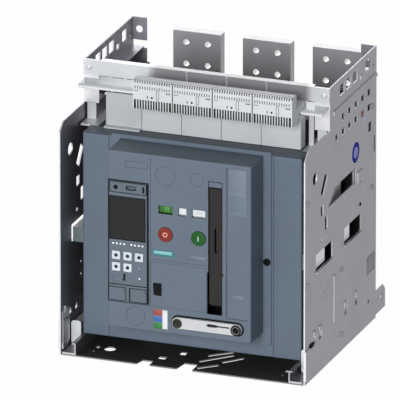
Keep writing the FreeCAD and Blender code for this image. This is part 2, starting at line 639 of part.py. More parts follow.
def base_plate():
    """The floor sheet with its notched front edge, slots and bolt holes."""
    blank = doc.addObject("PartDesign::Body", "base_plate")
    shape = new_sketch(blank, "base_outline", "XY_Plane")
    front = -half_depth
    notches = ((-85, -60, 20), (-11, 19, 30))
    points = [(-plate_in, front)]
    for start, end, deep in notches:
        points += [(size(start), front), (size(start + 5), front + deep),
                   (size(end), front + deep), (size(end), front)]
    points += [(plate_in, front), (plate_in, half_depth), (-plate_in, half_depth)]
    outline(shape, points)
    pad(blank, shape, s.sheet)
    holes = new_sketch(blank, "base_holes", "XY_Plane")
    for side in (-1, 1):
        for way in (-1, 1):
            circle(holes, (side * s.bolt_spacing_x / 2, way * s.bolt_spacing_y / 2),
                   s.bolt_radius)
        circle(holes, (side * s.bolt_spacing_x / 2, front + 30), 2.5)
    circle(holes, (size(-152), front + 51), s.drain_radius)
    for start, end in (((20, 77), (56, 110)), ((15, 45), (62, 95)),
                       ((54, 54), (83, 87)), ((23, 13), (54, 40))):
        sloped_slot(holes, (size(start[0]), front + start[1]),
                    (size(end[0]), front + end[1]), s.base_slot_width)
    rectangle(holes, (size(-58), front + 34), (size(-44), front + 46))
    rectangle(holes, (size(-30), front + 66), (size(-18), front + 80))
    pocket(blank, holes)
    keep("base_plate", blank)


def guide_channels():
    """Two bent channels on the floor, each with the bed that a pull-out rail slides on."""
    pieces = []
    inside = s.channel_inside
    for side in (-1, 1):
        end = "right" if side > 0 else "left"
        floor = s.sheet
        profile = [((inside, 0, floor), (inside + s.channel_sheet, s.plate_depth - 10,
                                         s.channel_height)),
                   ((inside, 0, s.channel_height - s.channel_sheet),
                    (inside + s.channel_lip, s.plate_depth - 10, s.channel_height)),
                   ((inside, 0, floor), (plate_in - s.clip_sheet - s.slide_gap,
                                         s.plate_depth - 10, floor + s.rail_bed))]
        pieces.append(fuse(f"channel_{end}", [
            side_box(f"channel_{end}_{i}", side, low, high)
            for i, (low, high) in enumerate(profile)]))
    keep("guide_channels", group("guide_channels", pieces))


def pull_out_rail(name, side):
    """A channel rail that is drawn out by its front tab and carries the breaker."""
    low = s.sheet + s.rail_bed + s.slide_gap
    high = low + s.rail_height
    inside = s.rail_inside
    outside = inside + s.rail_flange
    pieces = [((inside, s.rail_start, low), (inside + s.rail_sheet, s.rail_end, high)),
              ((inside, s.rail_start, low), (outside, s.rail_end, low + s.rail_sheet)),
              ((inside, s.rail_start, high - s.rail_sheet), (outside, s.rail_end, high))]
    web = fuse(name + "_web", [side_box(f"{name}_{i}", side, a, b)
                               for i, (a, b) in enumerate(pieces)])
    tab = side_box(name + "_tab", side, (inside - 2, s.rail_start - s.rail_sheet, low),
                   (inside - 2 + s.rail_tab_width, s.rail_start, low + s.rail_tab_height))
    tab = rounded(name + "_tab_round", tab, 5, lambda edge: runs_along(edge, 1))
    keep(name, fuse(name, [web, tab]))


def rail_top():
    return s.sheet + s.rail_bed + s.slide_gap + s.rail_height


def cross_rail():
    """The bar across the top that ties the two side plates together."""
    low = s.total_height - s.rail_bar_height
    back = s.rise_depth
    front = back - s.rail_bar_sheet
    bar = box("cross_bar", (-plate_out, front, low), (plate_out, back, s.total_height))
    lip = box("cross_lip", (-(plate_in - s.flange), front, s.total_height - s.rail_bar_sheet),
              (plate_in - s.flange, back + s.rail_bar_lip, s.total_height))
    keep("cross_rail", fuse("cross_rail", [bar, lip]))


def terminal_shelf():
    """The sheet below the cross rail that the secondary terminals stand on."""
    body = doc.addObject("PartDesign::Body", "terminal_shelf")
    shape = new_sketch(body, "shelf_outline", "XY_Plane")
    out = plate_out + s.shelf_overhang
    inner = plate_in - s.screen_clearance
    left = s.terminal_left - s.panel_gap
    right = s.terminal_left + 4 * s.terminal_pitch + s.panel_gap
    lip_back = s.terminal_back + s.panel_gap - half_depth
    front = s.shelf_front + s.shelf_drop - half_depth
    step = s.rise_depth - s.screen_clearance - half_depth
    back = s.shelf_back - half_depth
    outline(shape, [(-out, front), (left, front), (left, lip_back), (right, lip_back),
                    (right, front), (out, front), (out, step), (inner, step), (inner, back),
                    (-inner, back), (-inner, step), (-out, step)])
    pad(body, shape, s.shelf_sheet)
    bind(body, "Placement.Base.z", s.shelf_height - s.shelf_sheet)
    lips = []
    for number, (start, end) in enumerate(((-out, left), (right, out))):
        radius = s.shelf_drop
        middle = (start, s.shelf_front + radius, s.shelf_height - radius)
        curl = rod(f"shelf_curl_{number}", "x", middle, end - start, radius)
        bore = rod(f"shelf_bore_{number}", "x", (middle[0], middle[1], middle[2]),
                   end - start, radius - s.shelf_sheet)
        keeper = box(f"shelf_quarter_{number}", (start, s.shelf_front, s.shelf_height - radius),
                     (end, s.shelf_front + radius, s.shelf_height))
        quarter = doc.addObject("Part::Common", f"shelf_lip_{number}")
        quarter.Base = cut(f"shelf_ring_{number}", curl, [bore])
        quarter.Tool = keeper
        lips.append(quarter)
    keep("terminal_shelf", fuse("terminal_shelf_whole", [body] + lips))


def terminal_block(number):
    """A secondary terminal block with a comb of contact slits along its foot."""
    name = f"terminal_block_{number + 1}"
    left = s.terminal_left + s.terminal_pitch * number
    body = doc.addObject("PartDesign::Body", name)
    shape = new_sketch(body, name + "_profile", "YZ_Plane")
    foot_back = s.rise_depth - s.rail_bar_sheet - s.screen_clearance
    top_back = s.terminal_front + s.terminal_top
    outline(shape, [(a - half_depth, b) for a, b in [
        (s.terminal_front, s.terminal_low), (s.terminal_back, s.terminal_low),
        (s.terminal_back, s.shelf_height), (foot_back, s.shelf_height),
        (foot_back, s.shelf_height + s.terminal_foot),
        (top_back, s.shelf_height + s.terminal_foot),
        (top_back, s.terminal_high), (s.terminal_front + 2, s.terminal_high),
        (s.terminal_front, s.terminal_high - 2)]])
    pad(body, shape, s.terminal_width)
    count = int((float(s.terminal_width) - 3 - float(s.comb_width)) // float(s.comb_pitch)) + 1
    first = (s.terminal_width - s.comb_pitch * (count - 1) - s.comb_width) / 2
    slit = new_sketch(body, name + "_slit", "XZ_Plane")
    rectangle(slit, (first, s.comb_low), (first + s.comb_width, s.comb_high))
    bind(slit, "AttachmentOffset.Base.z", half_depth - s.terminal_front - s.comb_depth)
    doc.recompute()
    teeth = pocket(body, slit, s.comb_depth + 1)
    teeth.Reversed = True
    entry = new_sketch(body, name + "_entry", "XY_Plane")
    for row in (0, 1):
        front = s.terminal_front + s.entry_first + s.entry_pitch * row - half_depth
        rectangle(entry, (first, front), (first + s.entry_side, front + s.entry_side))
    bind(entry, "AttachmentOffset.Base.z", s.terminal_high)
    wells = pocket(body, entry, 6)
    doc.recompute()
    pattern = body.newObject("PartDesign::LinearPattern", name + "_comb")
    pattern.Originals = [teeth, wells]
    pattern.Direction = (origin_plane(body, "X_Axis"), [""])
    pattern.Occurrences = count
    bind(pattern, "Length", s.comb_pitch * (count - 1))
    body.Tip = pattern
    bind(body, "Placement.Base.x", left)
    keep(name, body)


def plug_blocks():
    """The four plug halves on the breaker, below the fixed terminals."""
    pieces = []
    for number in range(4):
        left = s.terminal_left + s.terminal_pitch * number
        low = s.cover_top + s.panel_gap
        block = box(f"plug_{number}", (left, s.plug_front, low),
                    (left + s.terminal_width, s.plug_back, s.terminal_low - s.plug_gap))
        block = rounded(f"plug_round_{number}", block, 1.5, lambda edge: runs_along(edge, 2))
        pieces.append(block)
    keep("plug_blocks", group("plug_blocks", pieces))


def blank_panel():
    """The plain sheet beside the plugs, with a drilled ledge that is screwed to the housing."""
    right = s.terminal_left - s.panel_gap
    low = s.cover_top + s.panel_gap
    back = s.plug_front + s.blank_sheet
    face = box("blank_face", (s.blank_left, s.plug_front, low), (right, back, s.blank_top))
    ledge = box("blank_ledge", (s.blank_left, s.plug_front - s.blank_ledge, low),
                (right, s.plug_front, low + s.blank_sheet))
    hole = rod("blank_hole", "z", (s.blank_left + 14, s.plug_front - s.blank_ledge / 2,
                                   low - 1), s.blank_sheet + 2, 2.2)
    keep("blank_panel", cut("blank_panel", fuse("blank_whole", [face, ledge]), [hole]))


def rear_wall():
    """The moulded insulating wall that holds the fixed main contacts."""
    reach = plate_out - s.flange - s.panel_gap
    back = s.wall_front + s.wall_thick
    sheet = box("rear_sheet", (-plate_in + s.panel_gap, s.wall_front, s.wall_low),
                (plate_in - s.panel_gap, back, s.wall_high))
    pieces = [sheet]
    for number, across in enumerate((-s.pole_pitch * 1.5, -s.pole_pitch / 2, s.pole_pitch / 2,
                                     s.pole_pitch * 1.5)):
        if float(across) > float(reach):
            continue
        pieces.append(box(f"rear_rib_{number}", (across - s.rib_thick / 2, back, s.wall_low),
                          (across + s.rib_thick / 2, back + s.rib_reach, s.wall_high)))
    holes = []
    for number, across in enumerate(pole_places):
        for level, height in enumerate((s.upper_bar_height, s.lower_bar_height)):
            half = s.bar_width / 2 + s.fit
            tall = s.bar_thick / 2 + s.fit
            holes.append(box(f"rear_hole_{number}_{level}",
                             (across - half, s.wall_front - 1, height - tall),
                             (across + half, back + 1, height + tall)))
    keep("rear_wall", cut("rear_wall", fuse("rear_whole", pieces), holes))


def main_bar(name, across, height, way):
    """A copper angle: contact blade to the front, drilled connection leg to the rear."""
    half = s.bar_width / 2
    tall = s.bar_thick / 2
    back = s.bar_face + s.bar_thick
    blade = box(name + "_blade", (across - half, s.blade_front, height - tall),
                (across + half, back, height + tall))
    reach = s.bar_top - s.upper_bar_height
    low = height - tall if way > 0 else height - reach
    high = height + reach if way > 0 else height + tall
    leg = box(name + "_leg", (across - half, s.bar_face, low), (across + half, back, high))
    end = height + way * (reach - s.bar_bolt_edge)
    bores = []
    for side in (-1, 1):
        for step in (0, 1):
            place = (across + side * s.bar_bolt_spacing / 2, s.bar_face - 1,
                     end - way * step * s.bar_bolt_spacing)
            bores.append(rod(f"{name}_bore_{side + 1}_{step}", "y", place, s.bar_thick + 2,
                             s.bar_bolt_radius))
    keep(name, cut(name, fuse(name + "_whole", [blade, leg]), bores))


def front_cover():
    """The moulded cover over the whole front of the breaker."""
    half = s.cover_half
    front = s.cover_front
    block = box("cover_block", (-half, front, s.cover_low), (half, s.housing_front, s.cover_top))
    block = rounded("cover_round", block, 2.5, lambda edge: (
        runs_along(edge, 2) or runs_along(edge, 0))
        and edge.CenterOfMass.y < float(front - half_depth) + 1)
    inner = half - s.cover_wall
    hollow = box("cover_hollow", (-inner, front + s.cover_wall, s.cover_low + s.cover_wall),
                 (inner, s.housing_front + 1, s.cover_top - s.cover_wall))
    opening_half = s.panel_half - 12
    opening = box("cover_opening", (-opening_half, front - 1, s.panel_low + 12),
                  (opening_half, front + s.cover_wall + 1, s.panel_high - 12))
    tools = [hollow, opening]
    for number, side in enumerate((-1, 1)):
        tools.append(side_box(f"cover_groove_{number}", side,
                              (s.groove_half, front - 1, s.cover_low - 1),
                              (s.groove_half + s.groove_width, front + s.groove_deep,
                               s.cover_top + 1)))
    keep("front_cover", cut("front_cover", block, tools))


def panel_bezel():
    """The frame around the operator panel, proud of the cover."""
    front = s.cover_front - s.bezel_proud
    gap = s.panel_half + s.panel_gap
    plate = box("bezel_plate", (-s.bezel_half, front, s.bezel_low),
                (s.bezel_half, s.cover_front, s.bezel_top))
    hole = box("bezel_hole", (-gap, front - 1, s.panel_low - s.panel_gap),
               (gap, s.cover_front + 1, s.panel_high + s.panel_gap))
    latch = rod("bezel_latch_hole", "y", (s.latch_across, front - 1, s.latch_height),
                s.bezel_proud + 2, s.latch_radius + s.panel_gap)
    keep("panel_bezel", cut("panel_bezel", plate, [hole, latch]))
    head = rod("latch_head", "y", (s.latch_across, front - 1.5, s.latch_height),
               s.bezel_proud + 1.5, s.latch_radius)
    keep("cover_latch", head)


def operator_panel():
    """The raised moulded panel with its openings for controls, trip unit and crank."""
    half = s.panel_half
    front = s.panel_front
    back = s.cover_front
    shell = box("panel_block", (-half, front, s.panel_low), (half, back, s.panel_high))
    shell = rounded("panel_rounded", shell, s.panel_round, lambda edge: (
        edge.CenterOfMass.y < float(back - half_depth) - 1))
    tools = [box("panel_hollow", (-half + wall, front + wall, s.panel_low + wall),
                 (half - wall, back + 1, s.panel_high - wall))]
    through = front + wall + 1
    before = front - 1

    def opening(name, left, low, right, high, deep=through):
        tools.append(box("panel_" + name, (left, before, low), (right, deep, high)))

    gap = s.panel_gap
    seam = s.unit_gap
    opening("unit", -half - 1, s.unit_low - seam, s.unit_right + seam, s.unit_high + seam,
            front + s.unit_slab + gap)
    opening("lever", s.lever_left, s.lever_slot_low, s.lever_right, s.lever_slot_top)
    flare = s.lever_flare
    opening("lever_flare", s.lever_left - flare, s.lever_slot_low, s.lever_right + flare,
            s.lever_flare_top)
    high = s.flag_height + s.flag_high / 2
    low = s.flag_height - s.flag_high / 2
    opening("contact_flag", s.contact_flag_left, low, s.contact_flag_right, high)
    opening("ready_flag", s.ready_flag_left, low, s.ready_flag_right, high)
    opening("spring_flag", s.spring_flag_left, low, s.spring_flag_right, high)
    opening("position", s.position_left, s.position_low, s.position_right, s.position_high)
    opening("gate", s.gate_left - gap, s.gate_low - gap, s.gate_right + gap, s.gate_high + gap)
    opening("hatch", s.hatch_left, s.hatch_low, s.hatch_right, s.hatch_high,
            front + s.hatch_thick)
    seam_deep = front + s.seam_deep
    foot = s.panel_low + s.seam_rise
    opening("seam_side", s.seam_across, foot, s.seam_across + s.seam,
            s.panel_high - s.seam_drop, seam_deep)
    opening("seam_foot", s.seam_across, foot - s.seam, s.panel_half - s.seam_end, foot, seam_deep)
    deep = front + s.label_deep
    high = s.panel_high - s.label_drop
    opening("label", s.label_left, high - s.label_tall, s.label_right, high, deep)
    opening("small_label", s.small_label_left, s.small_label_low, s.small_label_right,
            s.small_label_high, deep)
    for number, across in enumerate((s.open_across, s.close_across)):
        tools.append(rod(f"panel_button_{number}", "y", (across, before, s.button_height),
                         wall + 2, s.button_radius + gap))
    knockouts = ((-25.4, s.panel_high - s.knockout_drop, 18.3),
                 (33.0, s.panel_high - s.knockout_drop, 12.6),
                 (-80.5, s.panel_low + s.knockout_rise, 18.0))
    for number, (across, height, radius) in enumerate(knockouts):
        height = size(height)
        ring = rod(f"knockout_{number}", "y", (size(across), before, height),
                   1 + s.seam_deep, radius)
        core = rod(f"knockout_core_{number}", "y", (size(across), before, height),
                   1 + s.seam_deep, radius - s.seam)
        tools.append(cut(f"knockout_ring_{number}", ring, [core]))
    low = s.panel_high - s.tag_drop
    high = low + s.tag_tall
    frame = box("knockout_frame", (s.tag_left, before, low), (s.tag_right, seam_deep, high))
    core = box("knockout_inner", (s.tag_left + s.seam, before, low + s.seam),
               (s.tag_right - s.seam, seam_deep, high - s.seam))
    tools.append(cut("knockout_square", frame, [core]))
    tools.append(stadium("crank_recess", before, 1 + s.recess_deep,
                         s.hub_radius + s.recess_gap))
    tools.append(rod("hub_hole", "y", (s.hub_across, before, s.hub_height), wall + 2,
                     s.bush_radius - 1))
    keep("operator_panel", cut("operator_panel", shell, tools))


def stadium(name, start, deep, radius):
    """A round-ended bar between the crank's hub and its knob."""
    first = s.hub_across - s.crank_reach
    middle = box(name + "_middle", (first, start, s.hub_height - radius),
                 (s.hub_across, start + deep, s.hub_height + radius))
    ends = [rod(f"{name}_end_{i}", "y", (across, start, s.hub_height), deep, radius)
            for i, across in enumerate((first, s.hub_across))]
    return fuse(name, [middle] + ends)


def trip_unit():
    """The plug-in electronic trip unit: front slab, housing behind, pockets for its parts."""
    front = s.panel_front + s.unit_flush
    slab_back = s.panel_front + s.unit_slab
    slab = box("unit_slab", (s.unit_left, front, s.unit_low),
               (s.unit_right, slab_back, s.unit_high))
    inner_left = -s.panel_half + wall + s.panel_gap
    rear = box("unit_rear", (inner_left, slab_back, s.unit_low + 2),
               (s.unit_right, s.unit_back, s.unit_high - 2))
    before = front - 1
    gap = s.key_gap
    tools = [box("unit_display", (s.unit_left + 1, before, s.display_low),
                 (s.display_right, front + 2, s.display_high)),
             box("unit_strip", (s.strip_left, before, s.strip_low),
                 (s.strip_right, front + 1, s.strip_high)),
             rod("unit_socket", "y", (size(-117.5), before, 328), 8, 3.4),
             box("unit_port", (size(-98), before, 325.5), (size(-81), front + 6, 331.5)),
             box("unit_slot", (size(-68), before, 323), (size(-65), front + 5, 333)),
             box("unit_line", (s.unit_left, before, 148.6), (s.unit_right, front + 1, 150.2))]
    for number, (across, height) in enumerate(key_places()):
        reach = s.key_side / 2 + gap
        tools.append(box(f"unit_key_{number}", (across - reach, before, height - reach),
                         (across + reach, front + s.key_length + 2, height + reach)))
    for number, (low, high) in enumerate(unit_cover_places()):
        tools.append(box(f"unit_pocket_{number}",
                         (low[0] - gap, before, low[1] - gap),
                         (high[0] + gap, front + 4, high[1] + gap)))
    keep("trip_unit", cut("trip_unit", fuse("unit_whole", [slab, rear]), tools))
    keep("display_window", box("display_window",
                               (s.unit_left + 1 + gap, front + 0.2, s.display_low + gap),
                               (s.display_right - gap, front + 2, s.display_high - gap)))
    covers = []
    for number, (low, high) in enumerate(unit_cover_places()):
        block = box(f"unit_cover_{number}", (low[0], front, low[1]),
                    (high[0], front + 4, high[1]))
        notch = rod(f"unit_cover_notch_{number}", "y", (high[0] - 3, front - 1, high[1] - 5),
                    3, 2)
        covers.append(cut(f"unit_flap_{number}", block, [notch]))
    keep("unit_covers", group("unit_covers", covers))


def unit_cover_places():
    """Lower and upper corners of the plug flap and of the two module covers."""
    left = s.unit_left + 1
    low = s.unit_cover_low
    high = s.unit_cover_high
    wide = s.unit_cover_width
    right = s.unit_right - 2.5
    return [((size(-123.3), size(155)), (size(-100.9), size(165.1))),
            ((left, low), (left + wide, high)), ((right - wide, low), (right, high))]


def key_places():
    places = []
    for number in range(5):
        column = number % 3
        line = number // 3
        places.append((s.key_first_across + s.key_pitch * column,
                       s.key_first_height - s.key_pitch * line))
    return places


def unit_keys():
    """Five square keys, each free to be pressed into the trip unit."""
    front = s.panel_front + s.unit_flush
    for number, (across, height) in enumerate(key_places()):
        reach = s.key_side / 2
        key = box(f"key_block_{number}", (across - reach, front - s.key_proud, height - reach),
                  (across + reach, front + s.key_length, height + reach))
        key = rounded(f"key_round_{number}", key, 1.2, lambda edge: runs_along(edge, 1))
        keep(f"key_{number + 1}", key)


def push_button(name, across):
    """A round push button: dished head and guide stem."""
    front = s.panel_front - s.button_proud
    height = s.button_height
    head = chamfered_rod(name + "_head", (across, front, height), 9, s.button_radius, 1.2)
    dish = rod(name + "_dish", "y", (across, front - 1, height), 1.8, s.button_radius - 4)
    stem = rod(name + "_stem", "y", (across, front + 9, height), 9, s.stem_radius)
    keep(name, cut(name, fuse(name + "_whole", [head, stem]), [dish]))


def charging_lever():
    """The hand lever that winds the closing spring, with its pivot pin."""
    left = s.lever_left + s.lever_gap
    right = s.lever_right - s.lever_gap
    front = s.panel_front + s.lever_flush
    back = front + s.lever_thick
    pivot = s.lever_pivot_height
    middle = (s.lever_left + s.lever_right) / 2
    plate = box("lever_plate", (left, front, pivot), (right, back, s.lever_top))
    plate = rounded("lever_round", plate, 2, lambda edge: (
        runs_along(edge, 2) and edge.CenterOfMass.y < float(front - half_depth) + 1))
    web = box("lever_web", (left, back - 1, pivot - 4),
              (right, s.lever_pivot_depth + 3, pivot + 14))
    boss = rod("lever_boss", "x", (left, s.lever_pivot_depth, pivot), right - left,
               s.lever_boss_radius)
    pin = rod("lever_pin", "x", (left - 6, s.lever_pivot_depth, pivot),
              s.side_right + s.side_sheet + 2 - left + 6, s.lever_pin_radius)
    slot = box("lever_slot", (middle - s.grip_slot_width / 2, front - 1, s.grip_slot_low),
               (middle + s.grip_slot_width / 2, front + 3, s.grip_slot_high))
    scoop = box("lever_scoop", (left + 3, front + 2, s.grip_slot_high + 10),
                (right - 3, back + 1, s.lever_top - 6))
    keep("charging_lever", cut("charging_lever", fuse("lever_whole", [plate, web, boss, pin]),
                               [slot, scoop]))


def flags():
    """Three eight-sided flag drums on one fixed axle, behind the indicator windows."""
    for name, left, right in (
            ("contact_flag", s.contact_flag_left, s.contact_flag_right),
            ("ready_flag", s.ready_flag_left, s.ready_flag_right),
            ("spring_flag", s.spring_flag_left, s.spring_flag_right)):
        start = left - s.flag_overlap
        length = right - left + s.flag_overlap * 2
        centre = (start, s.flag_depth, s.flag_height)
        drum = doc.addObject("Part::Prism", name + "_drum")
        drum.Polygon = 8
        turned = Rotation(Vector(0, 0, 1), 180 / drum.Polygon)
        drum.Placement = Placement(Vector(), TURN["x"].multiply(turned))
        bind(drum, "Circumradius", s.flag_radius)
        bind(drum, "Height", length)
        place(drum, *centre)
        bore = rod(name + "_bore", "x", (start - 1, s.flag_depth, s.flag_height), length + 2,
                   s.axle_radius + s.running_fit)
        keep(name, cut(name, drum, [bore]))
    keep("flag_axle", rod("flag_axle", "x", (s.side_left, s.flag_depth, s.flag_height),
                          s.side_right + s.side_sheet - s.side_left, s.axle_radius))


def position_indicator():
    """The coloured scale of the breaker's place in the frame, and its sliding pointer."""
    front = s.panel_front + 0.8
    gap = s.fit
    plate = box("position_block", (s.position_left + gap, front, s.position_low + gap),
                (s.position_right - gap, front + 4, s.position_high - gap))
    groove = box("position_groove", (s.pointer_left, front - 1, s.position_low),
                 (s.position_right - 1, front + 1.6, s.position_high))
    keep("position_plate", cut("position_plate", plate, [groove]))
    top = s.position_high - 3
    keep("position_pointer", box("position_pointer",
                                 (s.pointer_left + 0.4, front, top - s.pointer_height),
                                 (s.position_right - 1.4, front + 1.3, top)))


def gate_and_hatch():
    """The locking slide of the crank opening, and the thin hatch that it passes through."""
    front = s.panel_front
    slide = box("gate_body", (s.gate_left, front - s.gate_proud, s.gate_low),
                (s.gate_right, front + 11, s.gate_high))
    notch = box("gate_notch", (s.gate_left - 1, front - s.gate_proud - 1, s.gate_low - 1),
                (s.gate_left + 5, front - s.gate_proud + 2, s.gate_low + 7))
    keep("crank_gate", cut("crank_gate", slide, [notch]))
    gap = s.panel_gap
    sheet = box("hatch_sheet", (s.hatch_left + gap, front, s.hatch_low + gap),
                (s.hatch_right - gap, front + s.hatch_thick, s.hatch_high - gap))
    hole = box("hatch_hole", (s.gate_left - gap, front - 1, s.gate_low - gap),
               (s.gate_right + gap, front + s.hatch_thick + 1, s.gate_high + gap))
    keep("service_hatch", cut("service_hatch", sheet, [hole]))


def crank():
    """The folding-knob hand crank, its drive spindle and the bush that the spindle runs in."""
    hub = (s.hub_across, s.hub_height)
    start = s.arm_start - s.arm_sheet
    arm = stadium("arm_blank", start, s.arm_sheet, s.hub_radius - 0.4)
    knob_across = s.hub_across - s.crank_reach
    pin = s.crank_pin_radius
    bore = rod("arm_bore", "y", (knob_across, start - 1, hub[1]), s.arm_sheet + 2,
               pin + s.running_fit)
    sink = rod("arm_sink", "y", (knob_across, s.arm_start - 1.8, hub[1]), 3, pin + 2.3)
    hub_cap = rod("hub_cap", "y", (hub[0], start - 2, hub[1]), 2, s.hub_radius - 1.5)
    keep("crank_arm", cut("crank_arm", fuse("arm_whole", [arm, hub_cap]), [bore, sink]))
    head = chamfered_rod("knob_head", (knob_across, start - s.slide_gap - s.knob_proud, hub[1]),
                         s.knob_proud, s.knob_radius, 0.8)
    stem = rod("knob_stem", "y", (knob_across, start - s.slide_gap, hub[1]),
               s.arm_sheet + s.slide_gap, pin)
    foot = rod("knob_foot", "y", (knob_across, s.arm_start - 1.5, hub[1]), 1.5, pin + 2)
    keep("crank_knob", fuse("crank_knob", [head, stem, foot]))
    spindle_start = s.arm_start + s.slide_gap
    spindle = rod("spindle_bar", "y", (hub[0], spindle_start, hub[1]),
                  s.spindle_back - spindle_start, s.spindle_radius)
    keep("crank_spindle", spindle)
    bush = rod("bush_body", "y", (hub[0], s.panel_front + wall, hub[1]), 14, s.bush_radius)
    hole = rod("bush_hole", "y", (hub[0], s.panel_front + wall - 1, hub[1]), 16,
               s.spindle_radius + s.running_fit)
    keep("crank_bush", cut("crank_bush", bush, [hole]))


def mechanism_plates():
    """The two steel side plates of the operating mechanism and their tie bar."""
    tools = []
    plates = []
    for number, left in enumerate((s.side_left, s.side_right)):
        plates.append(box(f"mechanism_side_{number}", (left, 0, s.side_low),
                          (left + s.side_sheet, s.side_back, s.side_high)))
        bores = ((s.shaft_depth, s.shaft_height, s.shaft_radius + s.running_fit),
                 (s.main_depth, s.main_height, s.main_radius + s.running_fit),
                 (s.lever_pivot_depth, s.lever_pivot_height,
                  s.lever_pin_radius + s.running_fit),
                 (s.flag_depth, s.flag_height, s.axle_radius))
        for step, (depth, height, radius) in enumerate(bores):
            tools.append(rod(f"mechanism_bore_{number}_{step}", "x",
                             (left - 1, depth, height), s.side_sheet + 2, radius))
    tie = rod("mechanism_tie", "x", (s.side_left + s.side_sheet, s.shaft_depth, s.tie_height),
              s.side_right - s.side_left - s.side_sheet, s.tie_radius)
    keep("mechanism_plates", cut("mechanism_plates",
                                 fuse("mechanism_whole", plates + [tie]), tools))


def charging_shaft():
    """The ratchet shaft that the lever winds."""
    count = int(s.ratchet_teeth.value)
    outer = float(s.ratchet_radius)
    inner = outer - float(s.tooth_deep)
    points = []
    for tooth in range(count):
        angle = 2 * math.pi * tooth / count
        for radius in (inner, outer):
            points.append(Vector(0, radius * math.cos(angle), radius * math.sin(angle)))
    wheel = Part.Face(Part.makePolygon(points + points[:1]))
    wheel = wheel.extrude(Vector(float(s.ratchet_width), 0, 0))
    start = float(s.side_left - 2 - s.ratchet_across)
    length = float(s.side_right + s.side_sheet - s.side_left + 4)
    bar = Part.makeCylinder(float(s.shaft_radius), length, Vector(start, 0, 0),
                            Vector(1, 0, 0))
    feature = doc.addObject("Part::Feature", "charging_shaft")
    feature.Shape = wheel.fuse(bar).removeSplitter()
    place(feature, s.ratchet_across, s.shaft_depth, s.shaft_height)
    keep("charging_shaft", feature)


def closing_spring():
    """The coiled closing spring between the ratchet shaft and the tie bar."""
    clear = float(s.slide_gap)
    wire = float(s.spring_wire) / 2
    low = float(s.shaft_height + s.shaft_radius) + clear + wire
    high = float(s.tie_height - s.tie_radius) - clear - wire
    radius = float(s.spring_radius)
    bends = 10
    steps = int(s.spring_turns.value) * bends
    corners = []
    for step in range(steps + 1):
        angle = 2 * math.pi * step / bends
        corners.append(Vector(radius * math.cos(angle), radius * math.sin(angle),
                              (high - low) * step / steps))
    path = Part.makePolygon(corners)
    way = corners[1] - corners[0]
    section = Part.Wire(Part.makeCircle(wire, corners[0], way))
    section = Part.makePolygon(section.discretize(7)[:6] + section.discretize(7)[:1])
    feature = doc.addObject("Part::Feature", "closing_spring")
    feature.Shape = path.makePipeShell([section], True, False, 1)
    place(feature, s.spring_across, s.shaft_depth, size(low))
    keep("closing_spring", feature)


def main_shaft():
    """The shaft that works all three poles, with one crank to each."""
    pieces = [rod("main_bar", "x", (-s.main_half, s.main_depth, s.main_height),
                  s.main_half * 2, s.main_radius)]
    for number, across in enumerate(pole_places):
        pieces.append(box(f"main_crank_{number}", (across - 5, s.main_depth - 4, s.main_height),
                          (across + 5, s.main_depth + 4,
                           s.main_height + s.crank_lever)))
    keep("main_shaft", fuse("main_shaft", pieces))


def pole_housing():
    """The moulded housing with one arcing chamber to each pole."""
    half = s.housing_half
    block = box("housing_block", (-half, s.housing_front, s.housing_low),
                (half, s.housing_back, s.cover_top))
    tools = []
    for number, across in enumerate(pole_places):
        wide = s.chamber_half
        tools.append(box(f"chamber_{number}", (across - wide, s.chamber_front, s.chamber_low),
                         (across + wide, s.chamber_back, s.cover_top + 1)))
        reach = s.jaw_half - 12 + s.fit
        for level, height in enumerate((s.upper_bar_height, s.lower_bar_height)):
            tall = s.bar_thick / 2 + s.fit
            tools.append(box(f"stud_hole_{number}_{level}",
                             (across - reach, s.chamber_back - 1, height - tall),
                             (across + reach, s.housing_back + 1, height + tall)))
        tools.append(rod(f"pivot_hole_{number}", "x",
                         (across - wide - s.trunnion_length - s.panel_gap,
                          s.arm_pivot_depth, s.arm_pivot_height),
                         (wide + s.trunnion_length + s.panel_gap) * 2,
                         s.trunnion_radius + s.running_fit))
    front = s.housing_front
    for number, across in enumerate((-s.pole_pitch, s.pole_pitch)):
        tools.append(box(f"housing_relief_{number}", (across - 40, front - 1, 60),
                         (across + 40, front + 12, 330)))
    keep("pole_housing", cut("pole_housing", block, tools))


def arc_chutes():
    """Three arc chutes, each with a vented cap and splitter slots in its foot."""
    chutes = []
    for number, across in enumerate(pole_places):
        gap = s.panel_gap
        top = s.cover_top + gap
        inner = s.chamber_half - gap
        body = box(f"chute_body_{number}", (across - inner, s.chamber_front + gap, s.chute_low),
                   (across + inner, s.chamber_back - gap, top))
        cap = box(f"chute_cap_{number}", (across - s.chute_cap_half, s.chute_cap_front, top),
                  (across + s.chute_cap_half, s.chute_cap_back, s.chute_high))
        tools = []
        count = int((s.chamber_back - s.chamber_front) / s.chute_pitch) - 1
        for step in range(count):
            depth = s.chamber_front + s.chute_pitch * (step + 0.88)
            tools.append(box(f"chute_slot_{number}_{step}",
                             (across - inner + 6, depth, s.chute_low - 1),
                             (across + inner - 6, depth + 6, s.chute_low + 24)))
            tools.append(box(f"chute_vent_{number}_{step}",
                             (across - inner + 10, depth, s.chute_high - 8),
                             (across + inner - 10, depth + 6, s.chute_high + 1)))
        chutes.append(cut(f"chute_{number}", fuse(f"chute_whole_{number}", [body, cap]), tools))
    keep("arc_chutes", group("arc_chutes", chutes))


